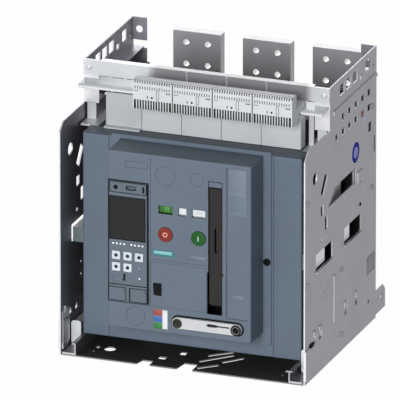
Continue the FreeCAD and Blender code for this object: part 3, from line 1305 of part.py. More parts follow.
def finger_clusters():
    """Sprung contact fingers above and below each blade, on studs through the housing."""
    solids = []
    for number, across in enumerate(pole_places):
        for level, height in enumerate((s.upper_bar_height, s.lower_bar_height)):
            tag = f"{number}_{level}"
            tall = s.bar_thick / 2
            half = s.jaw_half
            reach = tall + s.contact_clearance
            stud = box(f"stud_{tag}", (across - half + 12, s.chamber_back - 10, height - tall),
                       (across + half - 12, s.housing_back, height + tall))
            carrier = box(f"carrier_{tag}",
                          (across - half, s.housing_back, height - reach - s.jaw_thick),
                          (across + half, s.jaw_start, height + reach + s.jaw_thick))
            solids.append(fuse(f"contact_foot_{tag}", [stud, carrier]))
            for way in (-1, 1):
                near = height + way * reach
                far = near + way * s.jaw_thick
                low, high = (near, far) if way > 0 else (far, near)
                jaw = box(f"jaw_{tag}_{way + 1}", (across - half, s.jaw_start, low),
                          (across + half, s.jaw_end, high))
                leaf = (far, far + 2) if way > 0 else (far - 2, far)
                middle = (s.jaw_start + s.jaw_end) / 2
                spring = box(f"jaw_spring_{tag}_{way + 1}", (across - half, middle - 4, leaf[0]),
                             (across + half, middle + 4, leaf[1]))
                slots = []
                for step in (-2, -1, 0, 1, 2):
                    gap = across + s.finger_pitch * step
                    slots.append(box(f"jaw_slot_{tag}_{way + 1}_{step + 2}",
                                     (gap - s.finger_slot / 2, s.jaw_start + 6, low - 1),
                                     (gap + s.finger_slot / 2, s.jaw_end + 1, high + 1)))
                solids.append(fuse(f"jaw_whole_{tag}_{way + 1}", [
                    cut(f"jaw_cut_{tag}_{way + 1}", jaw, slots), spring]))
    keep("finger_clusters", group("finger_clusters", solids))


def moving_contacts():
    """Three contact arms on trunnions in the housing, swung open."""
    arms = []
    pivot = (s.arm_pivot_depth, s.arm_pivot_height)
    for number, across in enumerate(pole_places):
        arm = box(f"arm_bar_{number}", (across - s.arm_half, pivot[0] - s.arm_thick / 2,
                                        pivot[1] - 8),
                  (across + s.arm_half, pivot[0] + s.arm_thick / 2, s.arm_top))
        tip = box(f"arm_tip_{number}", (across - s.arm_half + 4, pivot[0] + s.arm_thick / 2,
                                        s.upper_bar_height - 8),
                  (across + s.arm_half - 4,
                   s.chamber_back - 10 - s.contact_clearance, s.upper_bar_height + 6))
        reach = s.chamber_half + s.trunnion_length
        pin = rod(f"arm_pin_{number}", "x", (across - reach, pivot[0], pivot[1]),
                  reach * 2, s.trunnion_radius)
        arms.append(fuse(f"arm_{number}", [arm, tip, pin]))
    arms = group("moving_contacts", arms)
    centre = Vector(0, float(pivot[0] - half_depth), float(pivot[1]))
    room = pivot[0] - s.arm_thick / 2 - s.chamber_front - s.arm_room
    opened = math.degrees(math.asin(float(room) / float(s.arm_top - pivot[1])))
    swing = Rotation(Vector(1, 0, 0), opened)
    arms.Placement = Placement(Vector(), swing, centre)
    keep("moving_contacts", arms)


def side_lugs_and_rollers():
    """Guide lugs that show in the side windows, and the rollers that run on the rails."""
    lugs = []
    rollers = []
    for side in (-1, 1):
        for number, (start, inner, length) in enumerate((
                (s.front_window_start, s.cover_half, s.front_lug_length),
                (s.rear_window_start, s.housing_half, s.rear_lug_length))):
            lugs.append(side_box(f"lug_{side + 1}_{number}", side,
                                 (inner, start, s.lug_low),
                                 (s.lug_reach, start + length, s.lug_high)))
        height = rail_top() + s.slide_gap + s.roller_radius
        for number, depth in enumerate((s.roller_front, s.roller_back)):
            rollers.append(side_rod(f"roller_{side + 1}_{number}", side,
                                    (s.housing_half, depth, height),
                                    s.roller_reach - s.housing_half, s.roller_radius))
    keep("guide_lugs", group("guide_lugs", lugs))
    keep("support_rollers", group("support_rollers", rollers))


def side_brackets():
    """Bent brackets on the housing's shoulders, below the flanges of the side plates."""
    brackets = []
    for side in (-1, 1):
        ledge = side_box(f"bracket_ledge_{side + 1}", side,
                         (s.housing_half, s.bracket_front, s.cover_top - s.bracket_sheet),
                         (s.bracket_reach, s.bracket_back, s.cover_top))
        block = side_box(f"bracket_block_{side + 1}", side,
                         (s.bracket_reach - s.bracket_width, s.bracket_step, s.cover_top),
                         (s.bracket_reach, s.bracket_back, s.plate_height - s.bracket_gap))
        pieces = [ledge, block]
        if side > 0:
            pieces.append(box("bracket_strip", (s.housing_half + s.bracket_gap, s.bracket_step,
                                                s.cover_top),
                              (s.housing_half + s.bracket_gap + s.strip_wide,
                               s.bracket_step + s.strip_thick, s.cover_top + s.strip_tall)))
        brackets.append(fuse(f"side_bracket_{side + 1}", pieces))
    keep("side_brackets", group("side_brackets", brackets))


def fasteners():
    """Rivet heads on the side plates and the screws of the cross rail."""
    heads = []
    rivets = list(RIVETS) + [(s.plate_depth - inset, s.plate_height - drop)
                             for inset, drop in REAR_RIVETS]
    for side in (-1, 1):
        for number, (depth, height) in enumerate(rivets):
            heads.append(side_rod(f"rivet_{side + 1}_{number}", side,
                                  (plate_out, size(depth), height), s.rivet_high,
                                  s.rivet_radius))
        front = s.rise_depth - s.rail_bar_sheet - s.screw_high
        heads.append(rod(f"rail_screw_{side + 1}", "y",
                         (side * (plate_out - s.screw_radius * 2), front,
                          s.total_height - s.rail_bar_height / 2),
                         s.screw_high, s.screw_radius))
    keep("frame_fasteners", group("frame_fasteners", heads))


side_plates()
base_plate()
guide_channels()
pull_out_rail("rail_left", -1)
pull_out_rail("rail_right", 1)
cross_rail()
terminal_shelf()
for block_number in range(4):
    terminal_block(block_number)
plug_blocks()
blank_panel()
rear_wall()
for pole, across_pole in enumerate(pole_places):
    main_bar(f"upper_bar_{pole + 1}", across_pole, s.upper_bar_height, 1)
    main_bar(f"lower_bar_{pole + 1}", across_pole, s.lower_bar_height, -1)
front_cover()
panel_bezel()
operator_panel()
trip_unit()
unit_keys()
push_button("open_button", s.open_across)
push_button("close_button", s.close_across)
charging_lever()
flags()
position_indicator()
gate_and_hatch()
crank()
mechanism_plates()
charging_shaft()
closing_spring()
main_shaft()
pole_housing()
arc_chutes()
finger_clusters()
moving_contacts()
side_lugs_and_rollers()
side_brackets()
fasteners()
doc.recompute()

for thing in doc.Objects:
    if "Invalid" in thing.State or "Error" in thing.State:
        raise RuntimeError(f"{thing.Name} could not be made: {thing.State}")
for name, thing in nodes.items():
    if thing.Shape.isNull() or not thing.Shape.isValid():
        raise RuntimeError(f"{name} is not a valid shape")

os.makedirs("parts", exist_ok=True)
for name, thing in nodes.items():
    thing.Shape.exportStep(f"parts/{name}.step")
print(len(nodes), "sub-parts written")
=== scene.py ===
import math
from types import SimpleNamespace

import bmesh
import bpy
from mathutils import Matrix, Vector


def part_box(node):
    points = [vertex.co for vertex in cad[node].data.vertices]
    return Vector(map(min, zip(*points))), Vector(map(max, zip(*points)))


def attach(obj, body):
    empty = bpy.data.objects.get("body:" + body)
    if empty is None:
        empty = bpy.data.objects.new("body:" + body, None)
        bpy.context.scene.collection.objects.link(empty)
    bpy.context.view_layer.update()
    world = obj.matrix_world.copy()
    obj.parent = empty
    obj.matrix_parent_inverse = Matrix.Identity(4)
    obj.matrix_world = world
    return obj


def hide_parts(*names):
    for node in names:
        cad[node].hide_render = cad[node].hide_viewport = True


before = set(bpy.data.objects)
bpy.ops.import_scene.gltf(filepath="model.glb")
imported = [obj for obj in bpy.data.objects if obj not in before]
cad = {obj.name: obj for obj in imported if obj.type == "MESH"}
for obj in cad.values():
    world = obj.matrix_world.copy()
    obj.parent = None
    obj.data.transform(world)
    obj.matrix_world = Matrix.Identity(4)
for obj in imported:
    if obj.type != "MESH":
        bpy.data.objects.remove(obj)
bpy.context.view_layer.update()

# Studio and camera
# The breaker stands alone on a white sweep. The lens is very long, so that parallel edges stay
# parallel, and it looks down a little from the right of the operator's side.
view_width = 0.6944
lens = 1500.0
azimuth = math.radians(20.2)
elevation = math.radians(19.9)
aim_right, aim_up = 0.03156, 0.2956
front_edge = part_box("side_plate_right")[0][1]
towards_camera = Vector((math.sin(azimuth) * math.cos(elevation),
                         -math.cos(azimuth) * math.cos(elevation), math.sin(elevation)))
picture_right = Vector((math.cos(azimuth), math.sin(azimuth), 0))
picture_up = towards_camera.cross(picture_right)
aim = Vector((0, front_edge, 0)) + picture_right * aim_right + picture_up * aim_up


def in_scene(name, data):
    """A new object in the scene, made of its data."""
    thing = bpy.data.objects.new(name, data)
    bpy.context.scene.collection.objects.link(thing)
    return thing


camera_data = bpy.data.cameras.new("camera")
camera_data.lens = lens
camera_data.sensor_width = 36.0
camera_data.clip_end = 120.0
camera = in_scene("camera", camera_data)
distance = view_width * lens / camera_data.sensor_width
facing = Matrix((picture_right, picture_up, towards_camera)).transposed()
camera.matrix_world = Matrix.Translation(aim + towards_camera * distance) @ facing.to_4x4()
bpy.context.scene.camera = camera
bpy.context.scene.view_settings.view_transform = "Standard"


def linear(hex_colour):
    """An sRGB hex colour as linear red, green, blue and full alpha."""
    parts = [int(hex_colour[i:i + 2], 16) / 255 for i in (1, 3, 5)]
    return tuple(c / 12.92 if c <= 0.04045 else ((c + 0.055) / 1.055) ** 2.4
                 for c in parts) + (1.0,)


def blank_tree(owner):
    """Gives a material or the world an empty node tree."""
    owner.use_nodes = True
    owner.node_tree.nodes.clear()
    return owner.node_tree


def add_node(tree, kind, sockets=None, **settings):
    """Adds one node with its settings, and fills its sockets or links them.

    A node among the values is linked by its first output.
    """
    node = tree.nodes.new("ShaderNode" + kind)
    for name, value in settings.items():
        setattr(node, name, value)
    for name, value in (sockets or {}).items():
        if isinstance(value, bpy.types.Node):
            value = value.outputs[0]
        if isinstance(value, bpy.types.NodeSocket):
            tree.links.new(value, node.inputs[name])
        else:
            node.inputs[name].default_value = value
    return node


def seen_directly(tree):
    """1 for what the camera sees straight, in metal or through glass, and 0 for other light."""
    path = add_node(tree, "LightPath").outputs
    mirrored = add_node(tree, "Math", {0: path["Is Camera Ray"], 1: path["Is Glossy Ray"]},
                        operation="MAXIMUM")
    return add_node(tree, "Math", {0: mirrored, 1: path["Is Transmission Ray"]},
                    operation="MAXIMUM")


fill_strength = 0.17
world = bpy.data.worlds.new("studio_air")
bpy.context.scene.world = world
air_tree = blank_tree(world)
fill = add_node(air_tree, "Background", {"Color": linear("#F6F8FA"),
                                         "Strength": fill_strength})
white = add_node(air_tree, "Background", {"Color": linear("#FFFFFF"), "Strength": 1.0})
air = add_node(air_tree, "MixShader", {0: seen_directly(air_tree), 1: fill, 2: white})
add_node(air_tree, "OutputWorld", {"Surface": air})

# One wide window behind the camera lights the front, and less of it falls on tops and sides.
# A weaker one behind the breaker lights only what faces away.
for lamp_name, strength, spread, travels in (
        ("window_lamp", 2.68, 24.0, (-0.07, 0.95, -0.30)),
        ("rear_lamp", 1.60, 40.0, (0.25, -0.95, -0.12))):
    lamp_data = bpy.data.lights.new(lamp_name, "SUN")
    lamp_data.energy = strength
    lamp_data.angle = math.radians(spread)
    lamp = in_scene(lamp_name, lamp_data)
    lamp.rotation_euler = Vector(travels).to_track_quat("-Z", "Y").to_euler()

# The sweep is a hair below the feet, and nearly as white as the air where it is seen.
floor_reach, floor_level, floor_glow = 9.0, -0.0004, 0.98
floor_paint = bpy.data.materials.new("white_sweep")
floor_tree = blank_tree(floor_paint)
matt = add_node(floor_tree, "BsdfDiffuse", {"Color": linear("#F4F4F4")})
glow = add_node(floor_tree, "Emission", {"Color": linear("#FFFFFF"), "Strength": 1.0})
glow_share = add_node(floor_tree, "Math", {0: seen_directly(floor_tree), 1: floor_glow},
                      operation="MULTIPLY")
sweep = add_node(floor_tree, "MixShader", {0: glow_share, 1: matt, 2: glow})
add_node(floor_tree, "OutputMaterial", {"Surface": sweep})
floor_mesh = bpy.data.meshes.new("floor")
floor_mesh.from_pydata([(x * floor_reach, y * floor_reach, floor_level)
                        for x, y in ((-1, -1), (1, -1), (1, 1), (-1, 1))], [], [(0, 1, 2, 3)])
floor_mesh.materials.append(floor_paint)
floor = in_scene("floor", floor_mesh)


# Side plates
# Cold-rolled steel sheets 2.5 mm thick, punched and flanged on a press and then zinc plated.
# They carry everything else: shelf, cross rail and floor are riveted and screwed between them.
def blank_material(name):
    """An empty node material, its tree, and the place on the object in metres."""
    material = bpy.data.materials.new(name)
    tree = blank_tree(material)
    return material, tree, add_node(tree, "TexCoord").outputs["Object"]


def edge_wear_and_light(tree, radius, sharpest, most):
    """A normal that eases edges of a radius, and the share of painted edge light with some wear,
    most where they are sharp.
    """
    eased = add_node(tree, "Bevel", {"Radius": radius}, samples=4)
    flat = add_node(tree, "NewGeometry").outputs["Normal"]
    bent = add_node(tree, "VectorMath", {0: eased, 1: flat}, operation="DOT_PRODUCT")
    edge_share = add_node(tree, "MapRange", {"Value": bent.outputs["Value"], "From Min": 0.98,
                                         "From Max": sharpest, "To Max": most})
    return eased, edge_share


def finish_surface(tree, colour, grain, roughness, bump, normal, **sockets):
    """Ends a material: its grain varies the roughness between two values and raises the skin.

    The bump is a strength and a height in metres. More sockets of the shader can be filled.
    """
    skin_bump = add_node(tree, "Bump", {"Height": grain, "Strength": bump[0],
                                        "Distance": bump[1], "Normal": normal})
    dullness = add_node(tree, "MapRange", {"Value": grain, "To Min": roughness[0],
                                           "To Max": roughness[1]})
    shader = add_node(tree, "BsdfPrincipled", {"Base Color": colour, "Roughness": dullness,
                                               "Normal": skin_bump, **sockets})
    add_node(tree, "OutputMaterial", {"Surface": shader})


def zinc_plated(name, hex_face, hex_front_painted_light, hex_edge, roughness, patch=0.05, metallic=0.55):
    """Passivated zinc on rolled sheet, a cloudy grey with a painted highlight on its edges.

    Rolling streaks are 2 mm by 40 mm and clouds as wide as patch, in metres. Folds that face
    the operator, near the front, are hex_front_painted_light: painted light, a colour for how
    the lamps fall on faces turned to the front.
    """
    material, tree, place = blank_material(name)
    streaks = add_node(tree, "Mapping", {"Vector": place, "Scale": (500, 25, 500)})
    grain = add_node(tree, "TexNoise", {"Vector": streaks, "Scale": 1.0, "Detail": 4.0,
                                        "Roughness": 0.6})
    clouds = add_node(tree, "TexNoise", {"Vector": place, "Scale": 1 / patch, "Detail": 5.0})
    both = add_node(tree, "Math", {0: grain, 1: clouds}, operation="ADD")
    tone = add_node(tree, "MapRange", {"Value": both, "From Min": 0.6, "From Max": 1.4,
                                       "To Min": 0.90, "To Max": 1.08})
    normal = add_node(tree, "SeparateXYZ", {0: add_node(tree, "TexCoord").outputs["Normal"]})
    depth = add_node(tree, "SeparateXYZ", {0: place})
    # Painted light: faces turned to the front, near the front, take their own colour.
    frontal = add_node(tree, "MapRange", {"Value": normal.outputs["Y"], "From Min": -0.5,
                                          "From Max": -0.9})
    near_front = add_node(tree, "MapRange", {"Value": depth.outputs["Y"], "From Min": 0.12,
                                           "From Max": 0.10})
    front_painted_light = add_node(tree, "Math", {0: frontal, 1: near_front}, operation="MULTIPLY")
    plating = add_node(tree, "Mix", {0: front_painted_light, 6: linear(hex_face), 7: linear(hex_front_painted_light)},
                       data_type="RGBA")
    cloudy = add_node(tree, "Mix", {0: 1.0, 6: plating.outputs[2], 7: tone}, data_type="RGBA",
                      blend_type="MULTIPLY")
    eased, edge_share = edge_wear_and_light(tree, 0.0006, 0.80, 0.65)
    colour = add_node(tree, "Mix", {0: edge_share, 6: cloudy.outputs[2], 7: linear(hex_edge)},
                      data_type="RGBA")
    finish_surface(tree, colour.outputs[2], grain, (roughness - 0.06, roughness + 0.08),
                   (0.18, 0.0003), eased, Metallic=metallic)
    return material


def finish_nodes(material, *names):
    """Gives CAD nodes a material in place of their plain one."""
    for name in names:
        for holder in cad[name].material_slots:
            holder.material = material


def placed(name):
    """The box of a CAD node in millimetres, with depths from the plates' front edge."""
    low, high = [[1000 * x, 1000 * (y - front_edge), 1000 * z] for x, y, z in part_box(name)]
    return SimpleNamespace(left=low[0], front=low[1], low=low[2],
                           right=high[0], back=high[1], high=high[2],
                           across=(low[0] + high[0]) / 2, depth=(low[1] + high[1]) / 2,
                           up=(low[2] + high[2]) / 2)


def point(across, up, out, plane="front"):
    """A point in millimetres on the front, on the side or on top.

    On the front it is given across, up and back from the edge of the side plates, on the side
    back, up and across, and on top across, back and up.
    """
    if plane == "front":
        return Vector((across, out + 1000 * front_edge, up))
    if plane == "side":
        return Vector((out, across + 1000 * front_edge, up))
    return Vector((across, up + 1000 * front_edge, out))


def skin(shape, loops, capped=True):
    """Joins loops of equally many points by quads, and closes the first and the last."""
    rings = [[shape.verts.new(corner) for corner in loop] for loop in loops]
    for near, far in zip(rings, rings[1:]):
        for i in range(len(near)):
            j = (i + 1) % len(near)
            shape.faces.new((near[i], near[j], far[j], far[i]))
    if capped:
        shape.faces.new(rings[0][::-1])
        shape.faces.new(rings[-1])


def make_piece(name, shape, body, material, replaced=(), sharp=35):
    """Turns a shape into a piece that rides on a body and has the given material."""
    bmesh.ops.remove_doubles(shape, verts=shape.verts, dist=0.002)
    bmesh.ops.recalc_face_normals(shape, faces=shape.faces)
    mesh = bpy.data.meshes.new(name)
    shape.to_mesh(mesh)
    shape.free()
    mesh.transform(Matrix.Scale(0.001, 4))
    mesh.shade_smooth()
    mesh.set_sharp_from_angle(angle=math.radians(sharp))
    mesh.materials.append(material)
    piece = in_scene(name, mesh)
    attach(piece, body)
    if replaced:
        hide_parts(*replaced)


# The plates' folds to the front are much paler than their faces, painted light.
plate_zinc = zinc_plated("dull_zinc_plated_sheet", "#93939A", "#DADBDE", "#D6D7D9", 0.46,
                         metallic=0.88)
finish_nodes(plate_zinc, "side_plate_left", "side_plate_right")
# The cross rail ends flush with the plates' outer faces.
plate_out = placed("cross_rail").right


# Marking disc and clip
# A round blue vinyl film with a pale rim is stuck on the right side plate, and a small red
# polyamide clip is snapped behind one of its louvres.
def moulded(name, hex_colour, roughness, grain=0.0008, depth=0.00006, edge=0.0008,
            hex_edge=None, ior=1.5, hex_top_shade=None):
    """Moulded plastic, with an eroded skin that scatters the light and eased edges, which are
    paler by default, a painted highlight.

    The real skin's grain is about 0.05 mm and is drawn 0.8 mm coarse so that it shows. What
    faces up is darker, hex_top_shade, as painted shade.
    """
    material, tree, place = blank_material(name)
    skin_grain = add_node(tree, "TexNoise", {"Vector": place, "Scale": 1 / grain, "Detail": 3.0,
                                             "Roughness": 0.7})
    flow = add_node(tree, "TexNoise", {"Vector": place, "Scale": 18.0, "Detail": 4.0})
    tone = add_node(tree, "MapRange", {"Value": flow, "From Min": 0.3, "From Max": 0.7,
                                       "To Min": 0.95, "To Max": 1.04})
    base = add_node(tree, "Mix", {0: 1.0, 6: linear(hex_colour), 7: tone}, data_type="RGBA",
                    blend_type="MULTIPLY")
    if hex_top_shade:
        normal = add_node(tree, "NewGeometry").outputs["Normal"]
        height = add_node(tree, "SeparateXYZ", {0: normal}).outputs["Z"]
        upward = add_node(tree, "MapRange", {"Value": height, "From Min": 0.3, "From Max": 0.9})
        base = add_node(tree, "Mix", {0: upward, 6: base.outputs[2], 7: linear(hex_top_shade)},
                        data_type="RGBA")
    eased, edge_share = edge_wear_and_light(tree, edge, 0.75, 0.35)
    edge_colour = linear(hex_edge) if hex_edge else tuple(min(1, c * 1.5 + 0.02)
                                                   for c in linear(hex_colour)[:3]) + (1.0,)
    colour = add_node(tree, "Mix", {0: edge_share, 6: base.outputs[2], 7: edge_colour}, data_type="RGBA")
    finish_surface(tree, colour.outputs[2], skin_grain, (roughness - 0.05, roughness + 0.07),
                   (0.25, depth), eased, IOR=ior)
    return material


def vinyl(name, hex_colour, roughness, ior=1.5):
    """Printed vinyl film, almost smooth."""
    return moulded(name, hex_colour, roughness, 0.002, 0.00003, 0.0001, ior=ior)


def on_plate(side, *layers):
    """Layers on a side plate, each with how far it stands out of the plate's outer face."""
    return [(side * (plate_out + out), size) for out, size in layers]


def turned(shape, centre, profile, plane="front", sides=40, flutes=0, flute_deep=0.0,
           capped=True):
    """A turned part round a centre of a plane: its profile is pairs of place and radius."""
    loops = []
    for out, radius in profile:
        loop = []
        for step in range(sides):
            angle = 2 * math.pi * step / sides
            reach = radius
            if flutes and radius > flute_deep * 3:
                reach = radius - flute_deep * (0.5 + 0.5 * math.cos(angle * flutes))
            loop.append(point(centre[0] + reach * math.cos(angle),
                              centre[1] + reach * math.sin(angle), out, plane))
        loops.append(loop)
    skin(shape, loops, capped)


def rounded_outline(left, low, right, high, radius, steps=5):
    """Points of a rounded rectangle, anticlockwise from its right end."""
    outline = []
    for across, up, start in ((right - radius, high - radius, 0),
                              (left + radius, high - radius, 90),
                              (left + radius, low + radius, 180),
                              (right - radius, low + radius, 270)):
        for step in range(steps + 1):
            angle = math.radians(start + 90 * step / steps)
            outline.append((across + radius * math.cos(angle), up + radius * math.sin(angle)))
    return outline


def slab(shape, left, low, right, high, radius, layers, plane="front", steps=5, capped=True):
    """A rounded slab by layers, each with its place and how far its rim is pulled in."""
    skin(shape, [[point(a, b, out, plane) for a, b in rounded_outline(
        left + pulled, low + pulled, right - pulled, high - pulled,
        max(radius - pulled, 0.05), steps)] for out, pulled in layers], capped)


def drawn(name, body, material, slot, draw, *sizes, **options):
    """A piece that is one turned part, slab, band or skin."""
    shape = bmesh.new()
    draw(shape, *sizes, **options)
    make_piece(name, shape, body, material)


disc_centre = (258.0, 343.0)
# The film's matt laminate hardly mirrors the room, even at this flat angle. Its field stays bare:
# a paler blue round without a sign.
rim_film = vinyl("pale_vinyl_rim", "#E4E6FA", 0.34)
blue_film = vinyl("blue_vinyl_film", "#1D2096", 0.50, ior=1.1)
field_film = vinyl("pale_blue_vinyl_field", "#A4A8EC", 0.45, ior=1.2)
for name, film, radius, back, rounding, front, pulled, sides, slot in (
        ("marking_disc_rim", rim_film, 20.3, 0, 0.09, 0.12, 0.1, 64, "white_plastic"),
        ("marking_disc", blue_film, 19.1, 0.1, 0.2, 0.24, 0.2, 64, "cover_plastic"),
        ("marking_disc_field", field_film, 10.5, 0.2, 0.3, 0.33, 0.2, 48, "white_plastic")):
    drawn(name, "guide_frame", film, slot, turned, disc_centre, on_plate(
        1, (back, radius), (rounding, radius), (front, radius - pulled)), "side", sides)

clip_red = moulded("red_polyamide", "#C0392F", 0.42)
clip = bmesh.new()
slab(clip, 287.0, 394.0, 299.0, 425.0, 3.0, on_plate(1, (-2.55, 0), (-5.2, 0), (-5.8, 0.6)),
     "side")
slab(clip, 290.5, 400.0, 295.5, 413.0, 2.0, on_plate(1, (-2.55, 0), (-0.8, 0.3), (-0.3, 0.9)),
     "side")
make_piece("louvre_clip", clip, "guide_frame", clip_red)


# Guards, liners, recesses, blisters and buffers
# On both plates a bent sheet behind the long window guides the shutter, and a liner guides the
# rail at the foot. Recess and louvre blisters are pressed, and the rubber buffers are pushed in.
def prism(shape, outline, ends, plane="front"):
    """An outline in a plane, drawn out from one place to another."""
    skin(shape, [[point(a, b, out, plane) for a, b in outline] for out in ends])


# Faces to the front of the guards and liners are darker, painted shade.
guard_zinc = zinc_plated("sheltered_zinc_sheet", "#D6D6DA", "#8C8C90", "#D9D9DC", 0.5,
                         metallic=0.3)
# The recess floors are a darker copy of the plate's zinc, painted shade in the recess.
recess_shade_zinc = zinc_plated("pressed_zinc_painted_recess_shade", "#7C7C80", "#8C8C90", "#A9A9AD", 0.5,
                         metallic=0.7)
# The blisters are a paler copy of the plate's zinc, painted light on their raised shape.
blister_painted_light_zinc = zinc_plated("pressed_out_zinc_painted_light", "#B8B8BC", "#D4D4D8", "#DADADD", 0.44,
                           metallic=0.7)
buffer_rubber = moulded("black_nitrile_buffer", "#050506", 0.5, ior=1.1)
guard_low, guard_high, guard_sheet = 270.0, 322.0, 1.2
guard_bend = [(124.0, 224.4), (140.0, 222.2), (160.0, 218.6), (182.0, 214.6), (204.0, 211.6),
              (228.0, 210.4)]
blister_height = 14.0
blister_places = ((47.0, 68.0, 10.0), (78.0, 64.0, 11.0), (209.5, 71.5, 10.5),
                  (262.0, 72.0, 11.5))
round_buffer_places = ((284.0, 283.0), (282.5, 239.0))
guards, liners, recesses, blisters, buffers = [bmesh.new() for _ in range(5)]
for side in (-1, 1):
    sheet = [(side * across, depth) for depth, across in guard_bend]
    sheet += [(side * (across - guard_sheet), depth + 0.3)
              for depth, across in reversed(guard_bend)]
    prism(guards, sheet, (guard_low, guard_high), "top")
    slab(guards, 254.2, 272.0, 257.0, 336.0, 0.8,
         on_plate(side, (-5.2, 0), (-2.7, 0), (-2.55, 0.1)), "side", 3)
    slab(liners, 7.0, 14.0, 42.0, 76.0, 4.0,
         on_plate(side, (-2.55, 0), (-3.4, 0), (-3.6, 0.2)), "side")
    slab(liners, 16.0, 72.0, 24.0, 84.0, 3.0,
         on_plate(side, (-2.55, 0), (-4.6, 0), (-5.0, 0.4)), "side")
    slab(recesses, 316.8, 94.8, 359.2, 127.2, 2.0,
         on_plate(side, (-1.1, 0), (-0.95, 0), (-0.92, 0.1)), "side", 3)
    for depth, low, width in blister_places:
        slab(blisters, depth, low, depth + width, low + blister_height, 3.0,
             on_plate(side, (-0.1, 0), (0.6, 0.2), (1.0, 0.8), (1.2, 1.8)), "side", 6)
    slab(buffers, 23.0, 59.5, 43.0, 68.0, 4.0,
         on_plate(side, (0, 0), (1.4, 0), (2.2, 0.7), (2.5, 1.8)), "side", 6)
    for place in round_buffer_places:
        turned(buffers, place, on_plate(side, (0, 3.2), (0.8, 3.2), (1.2, 2.6), (1.4, 1.0)),
               "side", 24)
for name, shape, finish, slot in (
        ("shutter_guards", guards, guard_zinc, "zinc_plate"),
        ("foot_liners", liners, guard_zinc, "zinc_plate"),
        ("stamped_recesses", recesses, recess_shade_zinc, "zinc_plate"),
        ("louvre_blisters", blisters, blister_painted_light_zinc, "zinc_plate"),
        ("edge_buffers", buffers, buffer_rubber, "black_plastic")):
    make_piece(name, shape, "guide_frame", finish)

# Base plate and its channels
# The floor sheet is steel drawn nearly black, so that what is punched in it shows white, and the
# bent zinc-plated channels on it are drawn dark. Their faces to the front are paler, painted
# light.
finish_nodes(zinc_plated("near_black_floor_sheet", "#101012", "#77787A", "#2E2E31", 0.62,
                         metallic=0.0), "base_plate")
finish_nodes(zinc_plated("dark_zinc_plated_channel", "#6A6A6E", "#C4C6C9", "#8A8A8D", 0.42),
             "guide_channels")


# Cross rail and terminal shelf
# Zinc-plated angles screwed across the top. The rail's middle behind the terminals is darker,
# painted shade of the terminals, and its ends beside them stay bright.
def painted_over(material, share, hex_colour):
    """Lays a colour over a finished material by a share that its own nodes work out."""
    tree = material.node_tree
    shader = next(n for n in tree.nodes if n.type == "BSDF_PRINCIPLED")
    under = shader.inputs["Base Color"].links[0].from_socket
    over = add_node(tree, "Mix", {0: share, 6: under, 7: linear(hex_colour)}, data_type="RGBA")
    tree.links.new(over.outputs[2], shader.inputs["Base Color"])


shade_from = placed("terminal_block_1").left / 1000 + 0.0015
shade_to = placed("terminal_block_4").right / 1000 - 0.0017
left_fade, right_fade = 0.014, 0.012
rail_zinc = zinc_plated("zinc_sheet_painted_middle_shade", "#BFC1C4", "#CDCFD3", "#DCDDDF", 0.42)
tree = rail_zinc.node_tree
place = add_node(tree, "TexCoord").outputs["Object"]
across = add_node(tree, "SeparateXYZ", {0: place}).outputs["X"]
past_left = add_node(tree, "MapRange", {"Value": across, "From Min": shade_from - 0.002,
                                        "From Max": shade_from + left_fade})
past_right = add_node(tree, "MapRange", {"Value": across, "From Min": shade_to + right_fade,
                                         "From Max": shade_to})
# Painted shade on the rail's middle, faded in at both ends.
middle_shade = add_node(tree, "Math", {0: past_left, 1: past_right}, operation="MULTIPLY")
painted_over(rail_zinc, middle_shade, "#919194")
finish_nodes(rail_zinc, "cross_rail")
shelf_zinc = zinc_plated("shelf_zinc_plated_sheet", "#BFC1C4", "#BFC1C4", "#C9CACC", 0.52,
                         metallic=0.45)
finish_nodes(shelf_zinc, "terminal_shelf")
# Hooks bent up from the shelf hold each terminal block to the next.
hook_half_width = 1.2
hook_outline = [(122.4, 486.0), (122.4, 504.8), (120.6, 504.8), (119.8, 503.6),
                (120.9, 501.0), (121.4, 494.0), (121.2, 486.0)]
hooks = bmesh.new()
for block in (2, 3, 4):
    across = placed(f"terminal_block_{block}").left
    prism(hooks, hook_outline, (across - hook_half_width, across + hook_half_width), "side")
make_piece("terminal_hooks", hooks, "guide_frame", shelf_zinc)


# Rivets and screws
# Domed steel rivets hold the parts between the side plates, and two pan-head screws the cross
# rail. They are headed from steel wire and zinc plated with the sheets.
def brushed_steel(name, hex_face, roughness, metallic=0.8):
    """Drawn or turned steel: fine lines half a millimetre apart that blur the shine."""
    material, tree, place = blank_material(name)
    lines = add_node(tree, "Mapping", {"Vector": place, "Scale": (60, 2000, 2000)})
    grain = add_node(tree, "TexNoise", {"Vector": lines, "Scale": 1.0, "Detail": 3.0})
    tone = add_node(tree, "MapRange", {"Value": grain, "From Min": 0.3, "From Max": 0.7,
                                       "To Min": 0.80, "To Max": 1.04})
    eased = add_node(tree, "Bevel", {"Radius": 0.0004}, samples=4)
    colour = add_node(tree, "Mix", {0: 1.0, 6: linear(hex_face), 7: tone}, data_type="RGBA",
                      blend_type="MULTIPLY")
    finish_surface(tree, colour.outputs[2], grain, (roughness - 0.08, roughness + 0.08),
                   (0.15, 0.0001), eased, Metallic=metallic)
    return material


def on_face(face, *layers):
    """Layers on a face to the front, each with how far it stands out of the face."""
    return [(face - out, size) for out, size in layers]


